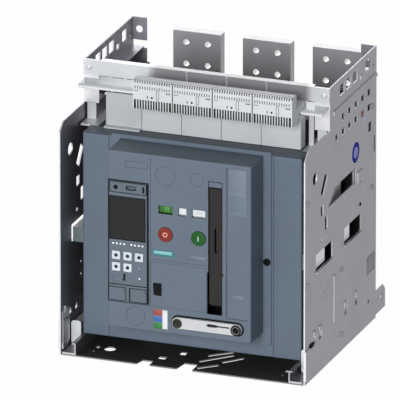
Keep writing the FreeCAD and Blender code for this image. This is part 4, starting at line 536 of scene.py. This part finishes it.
headed_wire = zinc_plated("zinc_plated_rivet_wire", "#94949A", "#A6A6AB", "#A6A6AA", 0.6,
                          metallic=0.4)
rivet_places = ((14, 180), (14, 330), (190, 150), (190, 30), (345, 250), (345, 400))
rivet_dome = ((0, 5.0), (1.0, 5.0), (2.0, 4.2), (2.7, 2.6), (3.0, 0.8))
heads = bmesh.new()
for side in (-1, 1):
    for place in rivet_places:
        turned(heads, place, on_plate(side, *rivet_dome), "side", 28)
make_piece("frame_rivets", heads, "guide_frame", headed_wire,
           ["frame_fasteners"])
pan_wire = zinc_plated("bright_zinc_plated_screw", "#BFC1C4", "#CFD1D4", "#DCDEE0", 0.45)
screw_across, screw_height = 217.0, 491.5
pan_head = ((0, 5.0), (1.8, 5.0), (2.7, 4.2), (3.0, 3.2), (3.0, 1.9), (1.4, 1.7))
screws = bmesh.new()
for side in (-1, 1):
    turned(screws, (side * screw_across, screw_height),
           on_face(placed("cross_rail").front, *pan_head), sides=28)
make_piece("rail_screws", screws, "guide_frame", pan_wire)

# Rear wall
# A thermoset wall, nearly black, holds the six fixed contacts apart with ribs between the
# poles. Its glass fibre shows as a faint mottle 1.6 mm wide.
thermoset = moulded("black_thermoset", "#232427", 0.62, grain=0.0016, depth=0.0001, ior=1.4)
finish_nodes(thermoset, "rear_wall")

# Main busbar connections
# Angles sawn and bent from flat copper bar, with a tin plating that has dulled to grey.
# Their rear faces are bolted to the cubicle's busbars through four holes each.
plated_bar = zinc_plated("dull_tin_plated_copper", "#A8A8AC", "#ABABAE", "#B4B4B7", 0.42, 0.03)
# A thin bright wall in each bolt hole is a painted highlight.
bore_wall_highlight_tin = brushed_steel("bore_wall_painted_highlight", "#E9E9EA", 0.28)
hole_pitch, hole_radius, bar_thickness = 40.0, 5.49, 20.0
walls = bmesh.new()
for level in ("upper", "lower"):
    for pole in (1, 2, 3):
        finish_nodes(plated_bar, f"{level}_bar_{pole}")
        bar = placed(f"{level}_bar_{pole}")
        middle = bar.high - hole_pitch if level == "upper" else bar.low + hole_pitch
        front, back = bar.back - bar_thickness + 0.05, bar.back - 0.05
        for across, up in ((-0.5, -0.5), (-0.5, 0.5), (0.5, -0.5), (0.5, 0.5)):
            turned(walls, (bar.across + across * hole_pitch, middle + up * hole_pitch),
                   [(front, hole_radius), (back, hole_radius), (back, hole_radius - 0.19),
                    (front, hole_radius - 0.19), (front, hole_radius)], sides=28, capped=False)
make_piece("bolt_hole_painted_highlights", walls, "guide_frame", bore_wall_highlight_tin)

# Pull-out rails
# Bright zinc-plated angles that slide on the channels of the floor. The breaker stands on them
# and is drawn out with them by the grips at their front ends.
finish_nodes(zinc_plated("zinc_plated_rail_strip", "#C8CACD", "#E2E4E6", "#EDEEEF", 0.40),
             "rail_left", "rail_right")

# Pole housing with its brackets, lugs and rollers
# One black thermoset moulding makes the three chambers. Zinc-plated brackets are screwed to its
# shoulders, die-cast lugs stand in the windows of the plates and rollers carry its weight.
finish_nodes(thermoset, "pole_housing")
finish_nodes(zinc_plated("zinc_plated_brackets", "#B4B6B9", "#C9CBCE", "#DEDFE1", 0.44),
             "side_brackets")
# The lugs' faces to the front are much darker than their pale sides, painted shade.
finish_nodes(zinc_plated("die_cast_zinc_lugs", "#E6E6EA", "#6C787B", "#B9BBBE", 0.45,
                         metallic=0.6), "guide_lugs")
finish_nodes(brushed_steel("turned_roller_steel", "#A9AAAD", 0.34), "support_rollers")

# Arc chutes
# Fibre boxes over the contacts, with steel splitter plates across them that cut up the arc.
# Each plate is stamped with a notch at its foot, and only its edge shows in the vented cap.
finish_nodes(moulded("brown_black_chute_fibre", "#2A2827", 0.68, grain=0.0012, depth=0.0001,
                     ior=1.4), "arc_chutes")
splitter_steel = brushed_steel("nickel_plated_splitter_steel", "#8E8D8A", 0.40)
first_splitter, splitter_pitch, splitter_thickness = 139.0, 12.5, 1.6
foot_low, notch_top, foot_high = 337.0, 352.0, 358.9
edge_layers = ((-0.9, 0.3), (-0.6, 0), (0.6, 0), (0.9, 0.3))
splitters = bmesh.new()
for pole in (1, 2, 3):
    centre = placed(f"upper_bar_{pole}").across
    for step in range(7):
        middle = first_splitter + splitter_pitch * step
        lean = 6.0 if step % 2 else -6.0
        foot = [(-44.0, foot_high), (-44.0, foot_low), (lean - 16.0, foot_low),
                (lean - 4.0, notch_top), (lean + 4.0, notch_top), (lean + 16.0, foot_low),
                (44.0, foot_low), (44.0, foot_high)]
        prism(splitters, [(centre + x, z) for x, z in foot],
              (middle - splitter_thickness / 2, middle + splitter_thickness / 2))
        slab(splitters, centre - 40.0, 431.9, centre + 40.0, 437.6, 0.6,
             [(middle + out, pulled) for out, pulled in edge_layers], steps=2)
make_piece("splitter_plates", splitters, "breaker", splitter_steel)

# Contacts
# Silver-plated copper fingers clasp the fixed blades from above and below, and the moving arms
# close on studs in front of them. Silver tarnishes to a warm grey.
finish_nodes(zinc_plated("tarnished_silver_on_copper", "#A8A49C", "#A8A49C", "#C8C2B8", 0.36,
                         0.02, metallic=0.75), "finger_clusters", "moving_contacts")

# Mechanism
# Pressed and turned steel parts between two plates behind the panel: the ratchet shaft, the main
# shaft with its cranks, the axle of the flags, and a closing spring of hardened steel wire.
mechanism_steel = brushed_steel("bright_machined_steel", "#A9AAAD", 0.36)
finish_nodes(mechanism_steel, "flag_axle", "mechanism_plates", "charging_shaft", "main_shaft")
spring_wire = brushed_steel("oil_tempered_spring_wire", "#7D7F83", 0.30)
spring_foot, spring_head, spring_turns, turn_steps = 200.3, 310.7, 6, 28
coil_radius, wire_radius, wire_sides = 15.0, 2.0, 10
spring = placed("closing_spring")
coil = bmesh.new()
coil_loops = []
for step in range(spring_turns * turn_steps + 1):
    angle = math.tau * step / turn_steps
    share = step / (spring_turns * turn_steps)
    # The first and the last turn lie almost flat, as on a ground spring.
    climb = share - 0.07 * math.sin(math.tau * share)
    outward = Vector((math.cos(angle), math.sin(angle), 0))
    centre = outward * coil_radius + point(
        spring.across, spring.depth, spring_foot + (spring_head - spring_foot) * climb, "top")
    coil_loops.append([centre + (outward * math.cos(math.tau * k / wire_sides)
                                 + Vector((0, 0, math.sin(math.tau * k / wire_sides))))
                       * wire_radius for k in range(wire_sides)])
skin(coil, coil_loops)
make_piece("closing_spring_coil", coil, "breaker", spring_wire,
           ["closing_spring"], sharp=60)


# Secondary terminals
# Light grey glass-filled polyamide blocks, one for each set of control circuits, moulded with a
# dull spark-eroded skin. Clamps sit in two rows of wells, and spring leaves in the comb below.
# The dark in the wells, mouths, slits and joints is painted shade.
terminal_grey = moulded("light_grey_polyamide", "#D4D6D9", 0.55)
block_names = [f"terminal_block_{number}" for number in (1, 2, 3, 4)]
blocks = [placed(name) for name in block_names]
slit_pitch, contact_pitch, mouth_pitch = 3.7, 4.9, 4.5
# The wires enter by mouths 2 mm wide, in three rows on top and on its eased edge. A mouth is
# centred on the pitch, so what is far from the middle of a pitch lies in one.
mouth_rows = ((52.3, 2.1), (60.0, 1.9), (69.5, 1.5))
tree = terminal_grey.node_tree
place = add_node(tree, "TexCoord").outputs["Object"]
place = add_node(tree, "SeparateXYZ", {0: place}).outputs
from_middle = place["X"]
for operation, length in (("SUBTRACT", blocks[0].left),
                          ("MODULO", blocks[1].left - blocks[0].left),
                          ("MODULO", mouth_pitch), ("SUBTRACT", mouth_pitch / 2),
                          ("ABSOLUTE", 0)):
    from_middle = add_node(tree, "Math", {0: from_middle, 1: length / 1000},
                           operation=operation)
mouth_shade = add_node(tree, "MapRange", {"Value": from_middle, "From Min": 0.00115,
                                       "From Max": 0.00135})
in_row = 0.0
for row_depth, half_width in mouth_rows:
    this_row = add_node(tree, "Math", {0: place["Y"], 1: row_depth / 1000 + front_edge,
                                       2: half_width / 1000}, operation="COMPARE")
    in_row = add_node(tree, "Math", {0: in_row, 1: this_row}, operation="MAXIMUM")
on_top = add_node(tree, "Math", {0: place["Z"], 1: blocks[0].high / 1000 - 0.0021},
                  operation="GREATER_THAN")
for limit in (in_row, on_top):
    mouth_shade = add_node(tree, "Math", {0: mouth_shade, 1: limit}, operation="MULTIPLY")
# The mouths are painted dark, the shade in their openings.
painted_over(terminal_grey, mouth_shade, "#1C1C1E")
finish_nodes(terminal_grey, *block_names)


def lip(shape, left, low, right, high, radius, width, front, back, steps=5):
    """A closed band round a rounded opening, as wide as width on each side."""
    slab(shape, left, low, right, high, radius,
         [(back, 0), (front, 0), (front, width), (back, width), (back, 0)], "front", steps, False)


leaf_outline = [(51.6, 456.4), (55.9, 456.4), (55.9, 469.6), (51.6, 469.6), (50.9, 467.0),
                (51.4, 463.0), (50.9, 459.0)]
leaf_half_width = 0.8
slit_shade_leaves, front_dark_marks, wells, mouths, ribs, seams, grooves = [bmesh.new() for _ in range(7)]
for number, block in enumerate(blocks):
    left, face = block.left, block.front
    inlaid = on_face(face, (-0.1, 0), (0.07, 0), (0.1, 0.15))
    # Black leaves fill the comb's slits, painted shade in them.
    for slit in range(19):
        middle = left + 2.25 + slit_pitch * slit
        prism(slit_shade_leaves, leaf_outline, (middle - leaf_half_width, middle + leaf_half_width),
              "side")
    # A dark strip over the slits is painted shade. Its ribs part the plug's fourteen contacts.
    slab(mouths, left + 2.2, 453.4, left + 70.8, 470.4, 0.5,
         on_face(face, (-0.04, 0), (0.04, 0), (0.06, 0.1)), steps=2)
    for rib in range(1, 14):
        middle = left + 2.2 + contact_pitch * rib
        slab(ribs, middle - 1.0, 453.2, middle + 1.0, 470.6, 0.3,
             on_face(face, (0, 0), (0.12, 0), (0.15, 0.15)), steps=2)
    for entry in range(1, 16):
        middle = left + mouth_pitch * entry
        slab(wells, middle - 0.85, 489.6, middle + 0.85, 495.2, 0.4, inlaid, steps=2)
        # The first row of wire mouths runs on down the front, painted dark as the shade in them.
        slab(front_dark_marks, middle - 1.0, 500.6, middle + 1.0, 503.5, 0.3,
             on_face(face, (-0.1, 0), (0.06, 0), (0.08, 0.1)), steps=2)
    # Coding plug, test socket and finger groove are in the middle of the block.
    turned(front_dark_marks, (left + 35.4, 475.8), on_face(face, (-0.1, 1.9), (0.08, 1.9), (0.1, 1.7)),
           sides=16)
    slab(front_dark_marks, left + 26.3, 473.5, left + 27.9, 478.5, 0.6, inlaid, steps=3)
    lip(grooves, left + 43.2, 472.0, left + 48.8, 489.5, 2.8, 1.1, face - 0.1, face + 0.1)
    # Marker grooves are at both ends of the block.
    slab(wells, left + 2.0, 485.6, left + 10.5, 486.8, 0.5, inlaid, steps=2)
    slab(wells, left + 61.0, 485.0, left + 69.5, 487.2, 0.5, inlaid, steps=2)
    # The joints between blocks are black bands, painted shade in the gaps.
    if number:
        slab(seams, left - 1.1, 453.0, left + 0.6, 503.2, 0.3,
             on_face(face, (-0.2, 0), (0.06, 0), (0.1, 0.1)), steps=1)
black_leaf_and_gap_shade = moulded("black_leaves_and_painted_gap_shade", "#0C0C0D", 0.55, grain=0.0005, ior=1.2)
mouth_black = moulded("shaded_comb_mouths", "#2B2D2E", 0.60, ior=1.2)
well_grey = moulded("shaded_test_wells", "#66676A", 0.60)
groove_grey = moulded("grey_groove_shade", "#6E6F72", 0.6)
for name, shape, finish, slot in (
        ("comb_slit_shade_leaves", slit_shade_leaves, black_leaf_and_gap_shade, "black_plastic"),
        ("comb_mouths", mouths, mouth_black, "black_plastic"),
        ("comb_ribs", ribs, terminal_grey, "terminal_plastic"),
        ("test_points", front_dark_marks, black_leaf_and_gap_shade, "black_plastic"),
        ("test_wells", wells, well_grey, "terminal_plastic"),
        ("block_seams", seams, black_leaf_and_gap_shade, "black_plastic"),
        ("finger_grooves", grooves, groove_grey, "terminal_plastic")):
    make_piece(name, shape, "guide_frame", finish)

# Plug halves and blank panel
# The plug halves of the breaker reach up to the blocks, and a bare cover panel fills the place
# where further blocks would stand. Both are the same polyamide, a shade darker.
finish_nodes(moulded("plug_grey_polyamide", "#BFC1C4", 0.55), "plug_blocks")
finish_nodes(moulded("blank_panel_polyamide", "#B4B8BA", 0.55), "blank_panel")

# Front cover, bezel and latch
# Blue-grey PC/ABS, injection moulded with a fine matt skin. The bezel is snapped on the cover
# from the front, and a black quarter-turn latch in a ring locks it.
# Its tops are drawn darker, painted shade.
cover_blue = moulded("blue_grey_pc_abs", "#5A6876", 0.52, edge=0.0012, hex_top_shade="#3F4A55")
finish_nodes(cover_blue, "front_cover", "panel_bezel")
black_abs = moulded("black_abs", "#08090B", 0.42, ior=1.22, hex_edge="#2A2C30")
finish_nodes(black_abs, "cover_latch")
latch = placed("cover_latch")
latch_ring = bmesh.new()
turned(latch_ring, (latch.across, latch.up),
       on_face(placed("panel_bezel").front, (0, 6.8), (0.8, 6.8), (1.1, 6.4), (1.1, 4.6),
               (0, 4.4), (0, 6.8)), sides=32, capped=False)
slab(latch_ring, latch.across - 2.9, latch.up - 0.8, latch.across + 2.9, latch.up + 0.8, 0.6,
     on_face(latch.front, (0, 0), (0.3, 0), (0.4, 0.2)), steps=3)
make_piece("latch_ring", latch_ring, "breaker", black_abs)

# Operator panel and its hatch
# The raised panel is the same PC/ABS. Thin grooves in it mark the places for options, the bare
# plates are enamel or polyester film, and the hatch below gives access to the crank opening.
# Its tops too are drawn darker, painted shade.
panel_blue = moulded("panel_blue_grey_pc_abs", "#5C6977", 0.52, edge=0.0014,
                     hex_top_shade="#4A5662")
finish_nodes(panel_blue, "operator_panel", "service_hatch")
panel_face = placed("operator_panel").front
seam_shadow = moulded("dark_joint_shadow", "#2C3842", 0.60, ior=1.35)
# The grooves round the label flap, the last two, are deep enough to stay dark.
joint_line = on_face(panel_face, (-0.1, 0), (0.06, 0), (0.1, 0.1))
flap_groove = on_face(panel_face, (-0.9, 0), (-0.4, 0), (-0.3, 0.1))
joints = bmesh.new()
for *outline, layers in (
        (-53.2, 120.0, -52.5, 390.0, 0.30, joint_line),
        (-50.5, 203.4, 52.0, 204.0, 0.25, joint_line),
        (87.25, 112.2, 88.35, 387.8, 0.30, flap_groove),
        (87.4, 110.9, 125.8, 111.9, 0.30, flap_groove)):
    slab(joints, *outline, layers, steps=1)
make_piece("panel_joints", joints, "breaker", seam_shadow)

teal_plate = moulded("teal_enamelled_plate", "#2B757C", 0.36, edge=0.0002)
pale_film = moulded("pale_cyan_film", "#7DB9BC", 0.36, edge=0.0002)
slate_film = moulded("slate_polyester_film", "#5C6475", 0.42, edge=0.0002)
for name, finish, *outline, layers in (
        ("bare_plate", teal_plate, -48.2, 211.6, -9.4, 222.4, 1.2,
         ((-0.1, 0), (0.35, 0), (0.45, 0.1))),
        ("bare_plate_film", pale_film, -46.6, 214.6, -13.5, 220.4, 0.6,
         ((0.4, 0), (0.5, 0), (0.53, 0.05))),
        ("blank_rating_film", slate_film, 10.5, 209.2, 47.5, 218.6, 0.8,
         ((-0.1, 0), (0.1, 0), (0.13, 0.05)))):
    drawn(name, "breaker", finish, "cover_plastic", slab, *outline,
          on_face(panel_face, *layers))

# The long label is left blank: a slightly paler film with a ruled edge and ruled lines.
label_film = moulded("blank_label_film", "#62707E", 0.52, edge=0.0002)
rule_film = moulded("pale_ruled_lines", "#8795A3", 0.50, edge=0.0002)
label_top = 387.0
flap_face = panel_face + 0.4
film_layers = on_face(flap_face, (-0.1, 0), (0.05, 0), (0.08, 0.05))
label = bmesh.new()
slab(label, 91.0, label_top - 85.6, 123.3, label_top - 0.4, 0.8, film_layers)
slab(label, 97.0, 147.5, 118.7, 155.5, 0.5, film_layers)
make_piece("blank_label", label, "breaker", label_film)
rules = bmesh.new()
lip(rules, 91.6, label_top - 85.0, 122.7, label_top - 1.0, 0.6, 0.5, flap_face - 0.14,
    flap_face - 0.06, 2)
for drop in (44.0, 46.6, 79.0, 81.5):
    slab(rules, 93.5, label_top - drop, 120.8, label_top - drop + 0.5, 0.2,
         on_face(flap_face, (0.06, 0), (0.12, 0), (0.14, 0.05)), steps=1)
make_piece("label_rules", rules, "breaker", rule_film)

# Trip unit
# A plug-in module of the same PC/ABS, with a tinted acrylic display, a row of light guides, five
# keys and two option covers. Black bands round them and in their joints are painted shade.
finish_nodes(moulded("trip_unit_pc_abs", "#5A6672", 0.52), "trip_unit", "unit_covers")
gap_shade_black = moulded("black_gap_shade", "#0B0D10", 0.55, ior=1.2)
unit_face = placed("trip_unit").front
# The black bands over the unit's shadow gaps are painted shade.
unit_gap_shade = bmesh.new()
# Right, left and top sides, the joint above the option covers, and the web between them.
for *outline, layers in (
        (-59.9, 119.5, -57.2, 339.8, 0.8, ((-0.1, 0), (0.4, 0), (0.6, 0.3))),
        (-131.5, 118.2, -129.6, 341.0, 0.8, ((-0.1, 0), (0.2, 0), (0.4, 0.3))),
        (-131.5, 339.4, -57.4, 341.1, 0.6, ((-0.1, 0), (0.2, 0), (0.4, 0.2))),
        (-130.4, 148.4, -60.0, 150.4, 0.4, ((-0.9, 0), (-0.1, 0), (0.04, 0.2))),
        (-92.8, 119.2, -90.4, 144.6, 0.4, ((-0.2, 0), (0.06, 0), (0.12, 0.2)))):
    slab(unit_gap_shade, *outline, on_face(unit_face, *layers), steps=2)
# Round the connector strip and both option covers.
for band in ((-129.2, 318.2, -60.2, 338.8, 1.0, 1.1), (-131.0, 119.0, -98.2, 144.9, 0.8, 1.3),
             (-92.4, 119.0, -59.2, 144.9, 0.8, 1.3)):
    lip(unit_gap_shade, *band, unit_face - 0.08, unit_face + 0.2, 3)
# The plug of the test socket, and the sealed screw, slot and socket of the connector strip.
slab(unit_gap_shade, -103.2, 157.0, -99.7, 170.6, 1.7,
     on_face(unit_face, (-0.2, 0), (0.3, 0), (0.5, 0.3)))
turned(unit_gap_shade, (-117.5, 328.0), on_face(unit_face, (-0.5, 3.9), (0.1, 3.9), (0.2, 3.6)),
       sides=24)
slab(unit_gap_shade, -68.3, 322.6, -64.9, 333.4, 0.8,
     on_face(unit_face, (-0.5, 0), (-0.1, 0), (0, 0.2)), steps=2)
lip(unit_gap_shade, -98.9, 324.4, -80.3, 332.4, 2.8, 1.0, unit_face + 0.3, unit_face + 1.0, 4)
make_piece("trip_unit_gap_shade", unit_gap_shade, "breaker", gap_shade_black)

finish_nodes(moulded("tinted_acrylic_display", "#1E1F20", 0.26, edge=0.0003, ior=1.33),
             "display_window")
display = placed("display_window")
# The display's black rim is painted shade.
drawn("display_rim", "breaker", gap_shade_black, "black_plastic", lip, display.left - 0.2,
      display.low - 0.5, display.right + 0.2, display.high + 0.5, 0.8, 1.6,
      display.front - 0.3, display.front, 3)
amber = moulded("dim_amber_light_guides", "#5E4A38", 0.35)
dashes = bmesh.new()
for across in (-119.0, -110.0, -95.5, -86.5, -78.0):
    slab(dashes, across - 0.9, 236.2, across + 0.9, 237.2, 0.3,
         on_face(display.front, (0, 0), (0.06, 0), (0.08, 0.05)), steps=2)
make_piece("display_marks", dashes, "breaker", amber)

light_guide = moulded("frosted_white_light_guides", "#EDF1F4", 0.35, edge=0.0003)
guides = bmesh.new()
for first, last in ((-122.2, -101.5), (-88.5, -68.0)):
    for step in range(4):
        turned(guides, (first + (last - first) * step / 3, 224.5),
               on_face(unit_face, (-0.3, 1.9), (0.2, 1.9), (0.5, 1.5), (0.7, 0.7)), sides=20)
for across, height, radius in ((-73.5, 164.0, 1.6), (-73.9, 182.4, 0.8)):
    turned(guides, (across, height), on_face(unit_face, (-0.3, radius), (0.2, radius),
                                             (0.4, radius * 0.6)), sides=20)
make_piece("light_guides", guides, "breaker", light_guide)

key_white = moulded("off_white_keycap", "#D2D9E0", 0.42)
key_mark = moulded("dark_blue_pad_print", "#1D2733", 0.45, ior=1.35, edge=0.0001)
for number in range(1, 6):
    finish_nodes(key_white, f"key_{number}")
    key = placed(f"key_{number}")
    drawn(f"key_{number}_mark", f"key_{number}", key_mark, "black_plastic", turned,
          (key.across, key.up), on_face(key.front, (-0.05, 3.3), (0.06, 3.3), (0.1, 3.1)),
          sides=28)

# Push buttons
# Dished ABS heads, moulded in red to open and in green to close. The signs O and I are printed
# in the dish.
# The darker edge colours of both heads are painted shade round their rims.
finish_nodes(moulded("red_button_abs", "#842D29", 0.40, ior=1.35, hex_edge="#5E2020"),
             "open_button")
finish_nodes(moulded("green_button_abs", "#0A5014", 0.40, ior=1.4, hex_edge="#083C12"),
             "close_button")
dish_depth = 0.8
opener, closer = placed("open_button"), placed("close_button")
sign_pale = moulded("pale_red_pad_print", "#E3A58D", 0.45, edge=0.0001)
drawn("open_sign", "open_button", sign_pale, "white_plastic", turned,
      (opener.across, opener.up),
      on_face(opener.front + dish_depth, (0, 4.6), (0.12, 4.5), (0.12, 2.6), (0, 2.5),
              (0, 4.6)), sides=36, capped=False)
sign_white = moulded("white_pad_print", "#DFF0DC", 0.45, edge=0.0001)
drawn("close_sign", "close_button", sign_white, "white_plastic", slab,
      closer.across - 0.7, closer.up - 4.6, closer.across + 0.7, closer.up + 4.6, 0.5,
      on_face(closer.front + dish_depth, (0, 0), (0.1, 0), (0.13, 0.1)), steps=3)

# Indicator flags
# Eight-sided drums of coloured ABS on one steel axle. The green facet says open, and a red one
# turns into the window when the contacts close. The white drums tell of readiness and spring.
finish_nodes(moulded("green_flag_abs", "#2F6A24", 0.45), "contact_flag")
finish_nodes(moulded("white_flag_abs", "#E6EAED", 0.45), "ready_flag", "spring_flag")
axle = placed("flag_axle")


def facet(shape, left, right, turn, low=-5.6, high=5.6):
    """A thin print on one facet of a flag drum, turned from the front by an angle."""
    bend = math.radians(turn)
    loops = []
    for away, pulled in ((14.75, 0), (14.86, 0), (14.88, 0.1)):
        loop = []
        for across, up in rounded_outline(left + pulled, low + pulled, right - pulled,
                                          high - pulled, 0.3, 2):
            depth = axle.depth - away * math.cos(bend) - up * math.sin(bend)
            height = axle.up - away * math.sin(bend) + up * math.cos(bend)
            loop.append(point(across, height, depth))
        loops.append(loop)
    skin(shape, loops)


# A print is two marks of the open sign, the whole of two facets, six bars or one whole facet.
for name, flag, print_name, hex_print, slot, facets in (
        ("open_flag_mark", "contact_flag", "leaf_green_print", "#5DA84E", "green_plastic",
         [(across - 1.0, across + 1.0, 0.0, -4.6, 4.6) for across in (-27.0, -22.6)]),
        ("closed_flag_facets", "contact_flag", "signal_red_print", "#B0302B", "red_plastic",
         [(-38.0, -12.3, -45.0), (-38.0, -12.3, -90.0)]),
        ("spring_flag_mark", "spring_flag", "slate_print", "#A9AEB6", "white_plastic",
         [(28.0 + 2.6 * bar, 28.9 + 2.6 * bar, 0.0, -2.4, 2.4) for bar in range(6)]),
        ("charged_flag_facet", "spring_flag", "yellow_print", "#D9B23A", "white_plastic",
         [(23.4, 47.8, -90.0)])):
    marks = bmesh.new()
    for place in facets:
        facet(marks, *place)
    make_piece(name, marks, flag, moulded(print_name, hex_print, 0.45, edge=0.0001))

# Charging lever
# Charcoal glass-filled polyamide, slim enough to lie in its slot in the panel. A block of the
# panel's plastic stops it at the top, and a grip slot is moulded along its middle.
finish_nodes(moulded("charcoal_polyamide", "#262421", 0.55, ior=1.3, hex_edge="#100F0E"),
             "charging_lever")
drawn("lever_stop", "breaker", panel_blue, "cover_plastic", slab, 54.4, 349.2, 78.4, 358.8,
      0.8, on_face(panel_face, (-3.5, 0), (-0.6, 0), (-0.1, 0.5)), steps=3)
grip_rubber = moulded("black_grip_rubber", "#020203", 0.60, ior=1.1)
grip_outline = [(64.6, 271.2), (64.6, 233.0), (67.6, 228.6), (69.2, 228.6), (68.4, 234.0),
                (68.2, 271.2), (66.4, 276.0)]
lever_face = placed("charging_lever").front
drawn("grip_slot_rubber", "charging_lever", grip_rubber, "black_plastic", prism,
      grip_outline, (lever_face + 2.6, lever_face - 0.12))
# A rib beside the slot keeps the hand clear of the lever's foot.
rib_outline = [(79.4, 115.6), (85.8, 115.6), (85.8, 187.5), (83.6, 192.0), (79.4, 188.0)]
rib_middle = 82.0
drawn("lever_foot_rib", "breaker", cover_blue, "cover_plastic", skin,
      [[point(x + pulled * (1 if x < rib_middle else -1), z, out) for x, z in rib_outline]
       for out, pulled in on_face(panel_face, (-0.4, 0), (0.5, 0), (0.9, 0.5))])

# Position scale and crank gate
# A white scale shows whether the breaker is connected, in test or drawn out, by red, blue and
# green fields beside a sliding pointer. The black gate below the hatch covers the crank opening.
finish_nodes(moulded("white_scale_abs", "#E4E6E9", 0.45), "position_plate", "position_pointer")
finish_nodes(black_abs, "crank_gate")
scale_face = placed("position_plate").front
for colour, low, high, hex_field, slot in (
        ("red", 100.2, 111.6, "#99423C", "red_plastic"),
        ("blue", 88.3, 100.0, "#3565A8", "cover_plastic"),
        ("green", 76.4, 88.1, "#24752F", "green_plastic")):
    field_print = moulded(f"{colour}_scale_print", hex_field, 0.45, edge=0.0001)
    drawn(f"{colour}_field", "breaker", field_print, slot, slab, -47.2, low, -31.6, high, 0.5,
          on_face(scale_face, (0, 0), (0.12, 0), (0.16, 0.1)), steps=2)

# Hand crank
# A steel arm with light grey powder coat lies in a recess edged by a black band of painted shade.
# Its hub is held by a black cap on the drive spindle, and a fluted polyamide knob turns on a pin
# at the other end.
finish_nodes(moulded("light_grey_powder_coat", "#CCCDCF", 0.42, grain=0.0012), "crank_arm")
finish_nodes(mechanism_steel, "crank_spindle", "crank_bush")
spindle, knob_box = placed("crank_spindle"), placed("crank_knob")
hub_across, knob_across, crank_height = spindle.across, knob_box.across, spindle.up
# The black band round the crank's recess is painted shade.
gap_shade_radius, gap_shade_width = 12.85, 4.85
drawn("crank_recess_gap_shade", "breaker", gap_shade_black, "black_plastic", lip,
      knob_across - gap_shade_radius, crank_height - gap_shade_radius, hub_across + gap_shade_radius,
      crank_height + gap_shade_radius, gap_shade_radius, gap_shade_width, panel_face + 0.7,
      panel_face + 1.0, 8)

# The hub stands 2 mm proud of the arm.
arm_face = placed("crank_arm").front + 2.0
arrow_print = moulded("black_arrow_print", "#17181A", 0.45, ior=1.35, edge=0.0001)
arrow_outline = [(51.5, 96.5), (55.5, 99.4), (71.0, 98.9), (73.0, 97.8), (95.0, 97.7),
                 (95.0, 95.3), (73.0, 95.2), (71.0, 94.1), (55.5, 93.6)]
drawn("crank_arrow", "crank_arm", arrow_print, "black_plastic", prism, arrow_outline,
      (arm_face, arm_face - 0.12))

cap_profile = ((0, 9.7), (1.6, 9.7), (2.15, 9.2), (2.35, 8.4), (2.35, 7.3), (2.1, 7.1),
               (2.1, 5.9), (2.45, 5.7), (2.55, 4.4), (2.3, 4.0), (2.2, 2.6), (2.6, 2.3),
               (2.65, 0.4))
ring_profile = ((2.1, 6.9), (2.3, 6.8), (2.3, 6.2), (2.1, 6.1), (2.1, 6.9))
drawn("crank_hub_cap", "crank_arm", black_abs, "black_plastic", turned,
      (hub_across, crank_height), on_face(arm_face, *cap_profile), sides=44)
drawn("crank_hub_ring", "crank_arm", mechanism_steel, "bright_steel", turned,
      (hub_across, crank_height), on_face(arm_face, *ring_profile), capped=False)

olive_polyamide = moulded("dark_olive_polyamide", "#1D1E18", 0.42, ior=1.35)
knob_profile = ((-3.2, 2.9), (-3.2, 7.6), (-2.9, 8.4), (-2.0, 8.8), (-0.8, 8.7), (-0.2, 8.1),
                (0, 7.0), (-0.05, 5.6), (-0.5, 4.2), (-0.7, 2.2), (-0.7, 0.3))
pin_profile = ((-8.5, 4.6), (-7.0, 4.6), (-7.0, 3.0), (-3.15, 3.0))
knob = bmesh.new()
turned(knob, (knob_across, crank_height), on_face(knob_box.front, *knob_profile), sides=72,
       flutes=18, flute_deep=0.5)
turned(knob, (knob_across, crank_height), on_face(knob_box.front, *pin_profile), sides=28)
make_piece("crank_knob_turned", knob, "crank_knob", olive_polyamide,
           ["crank_knob"])
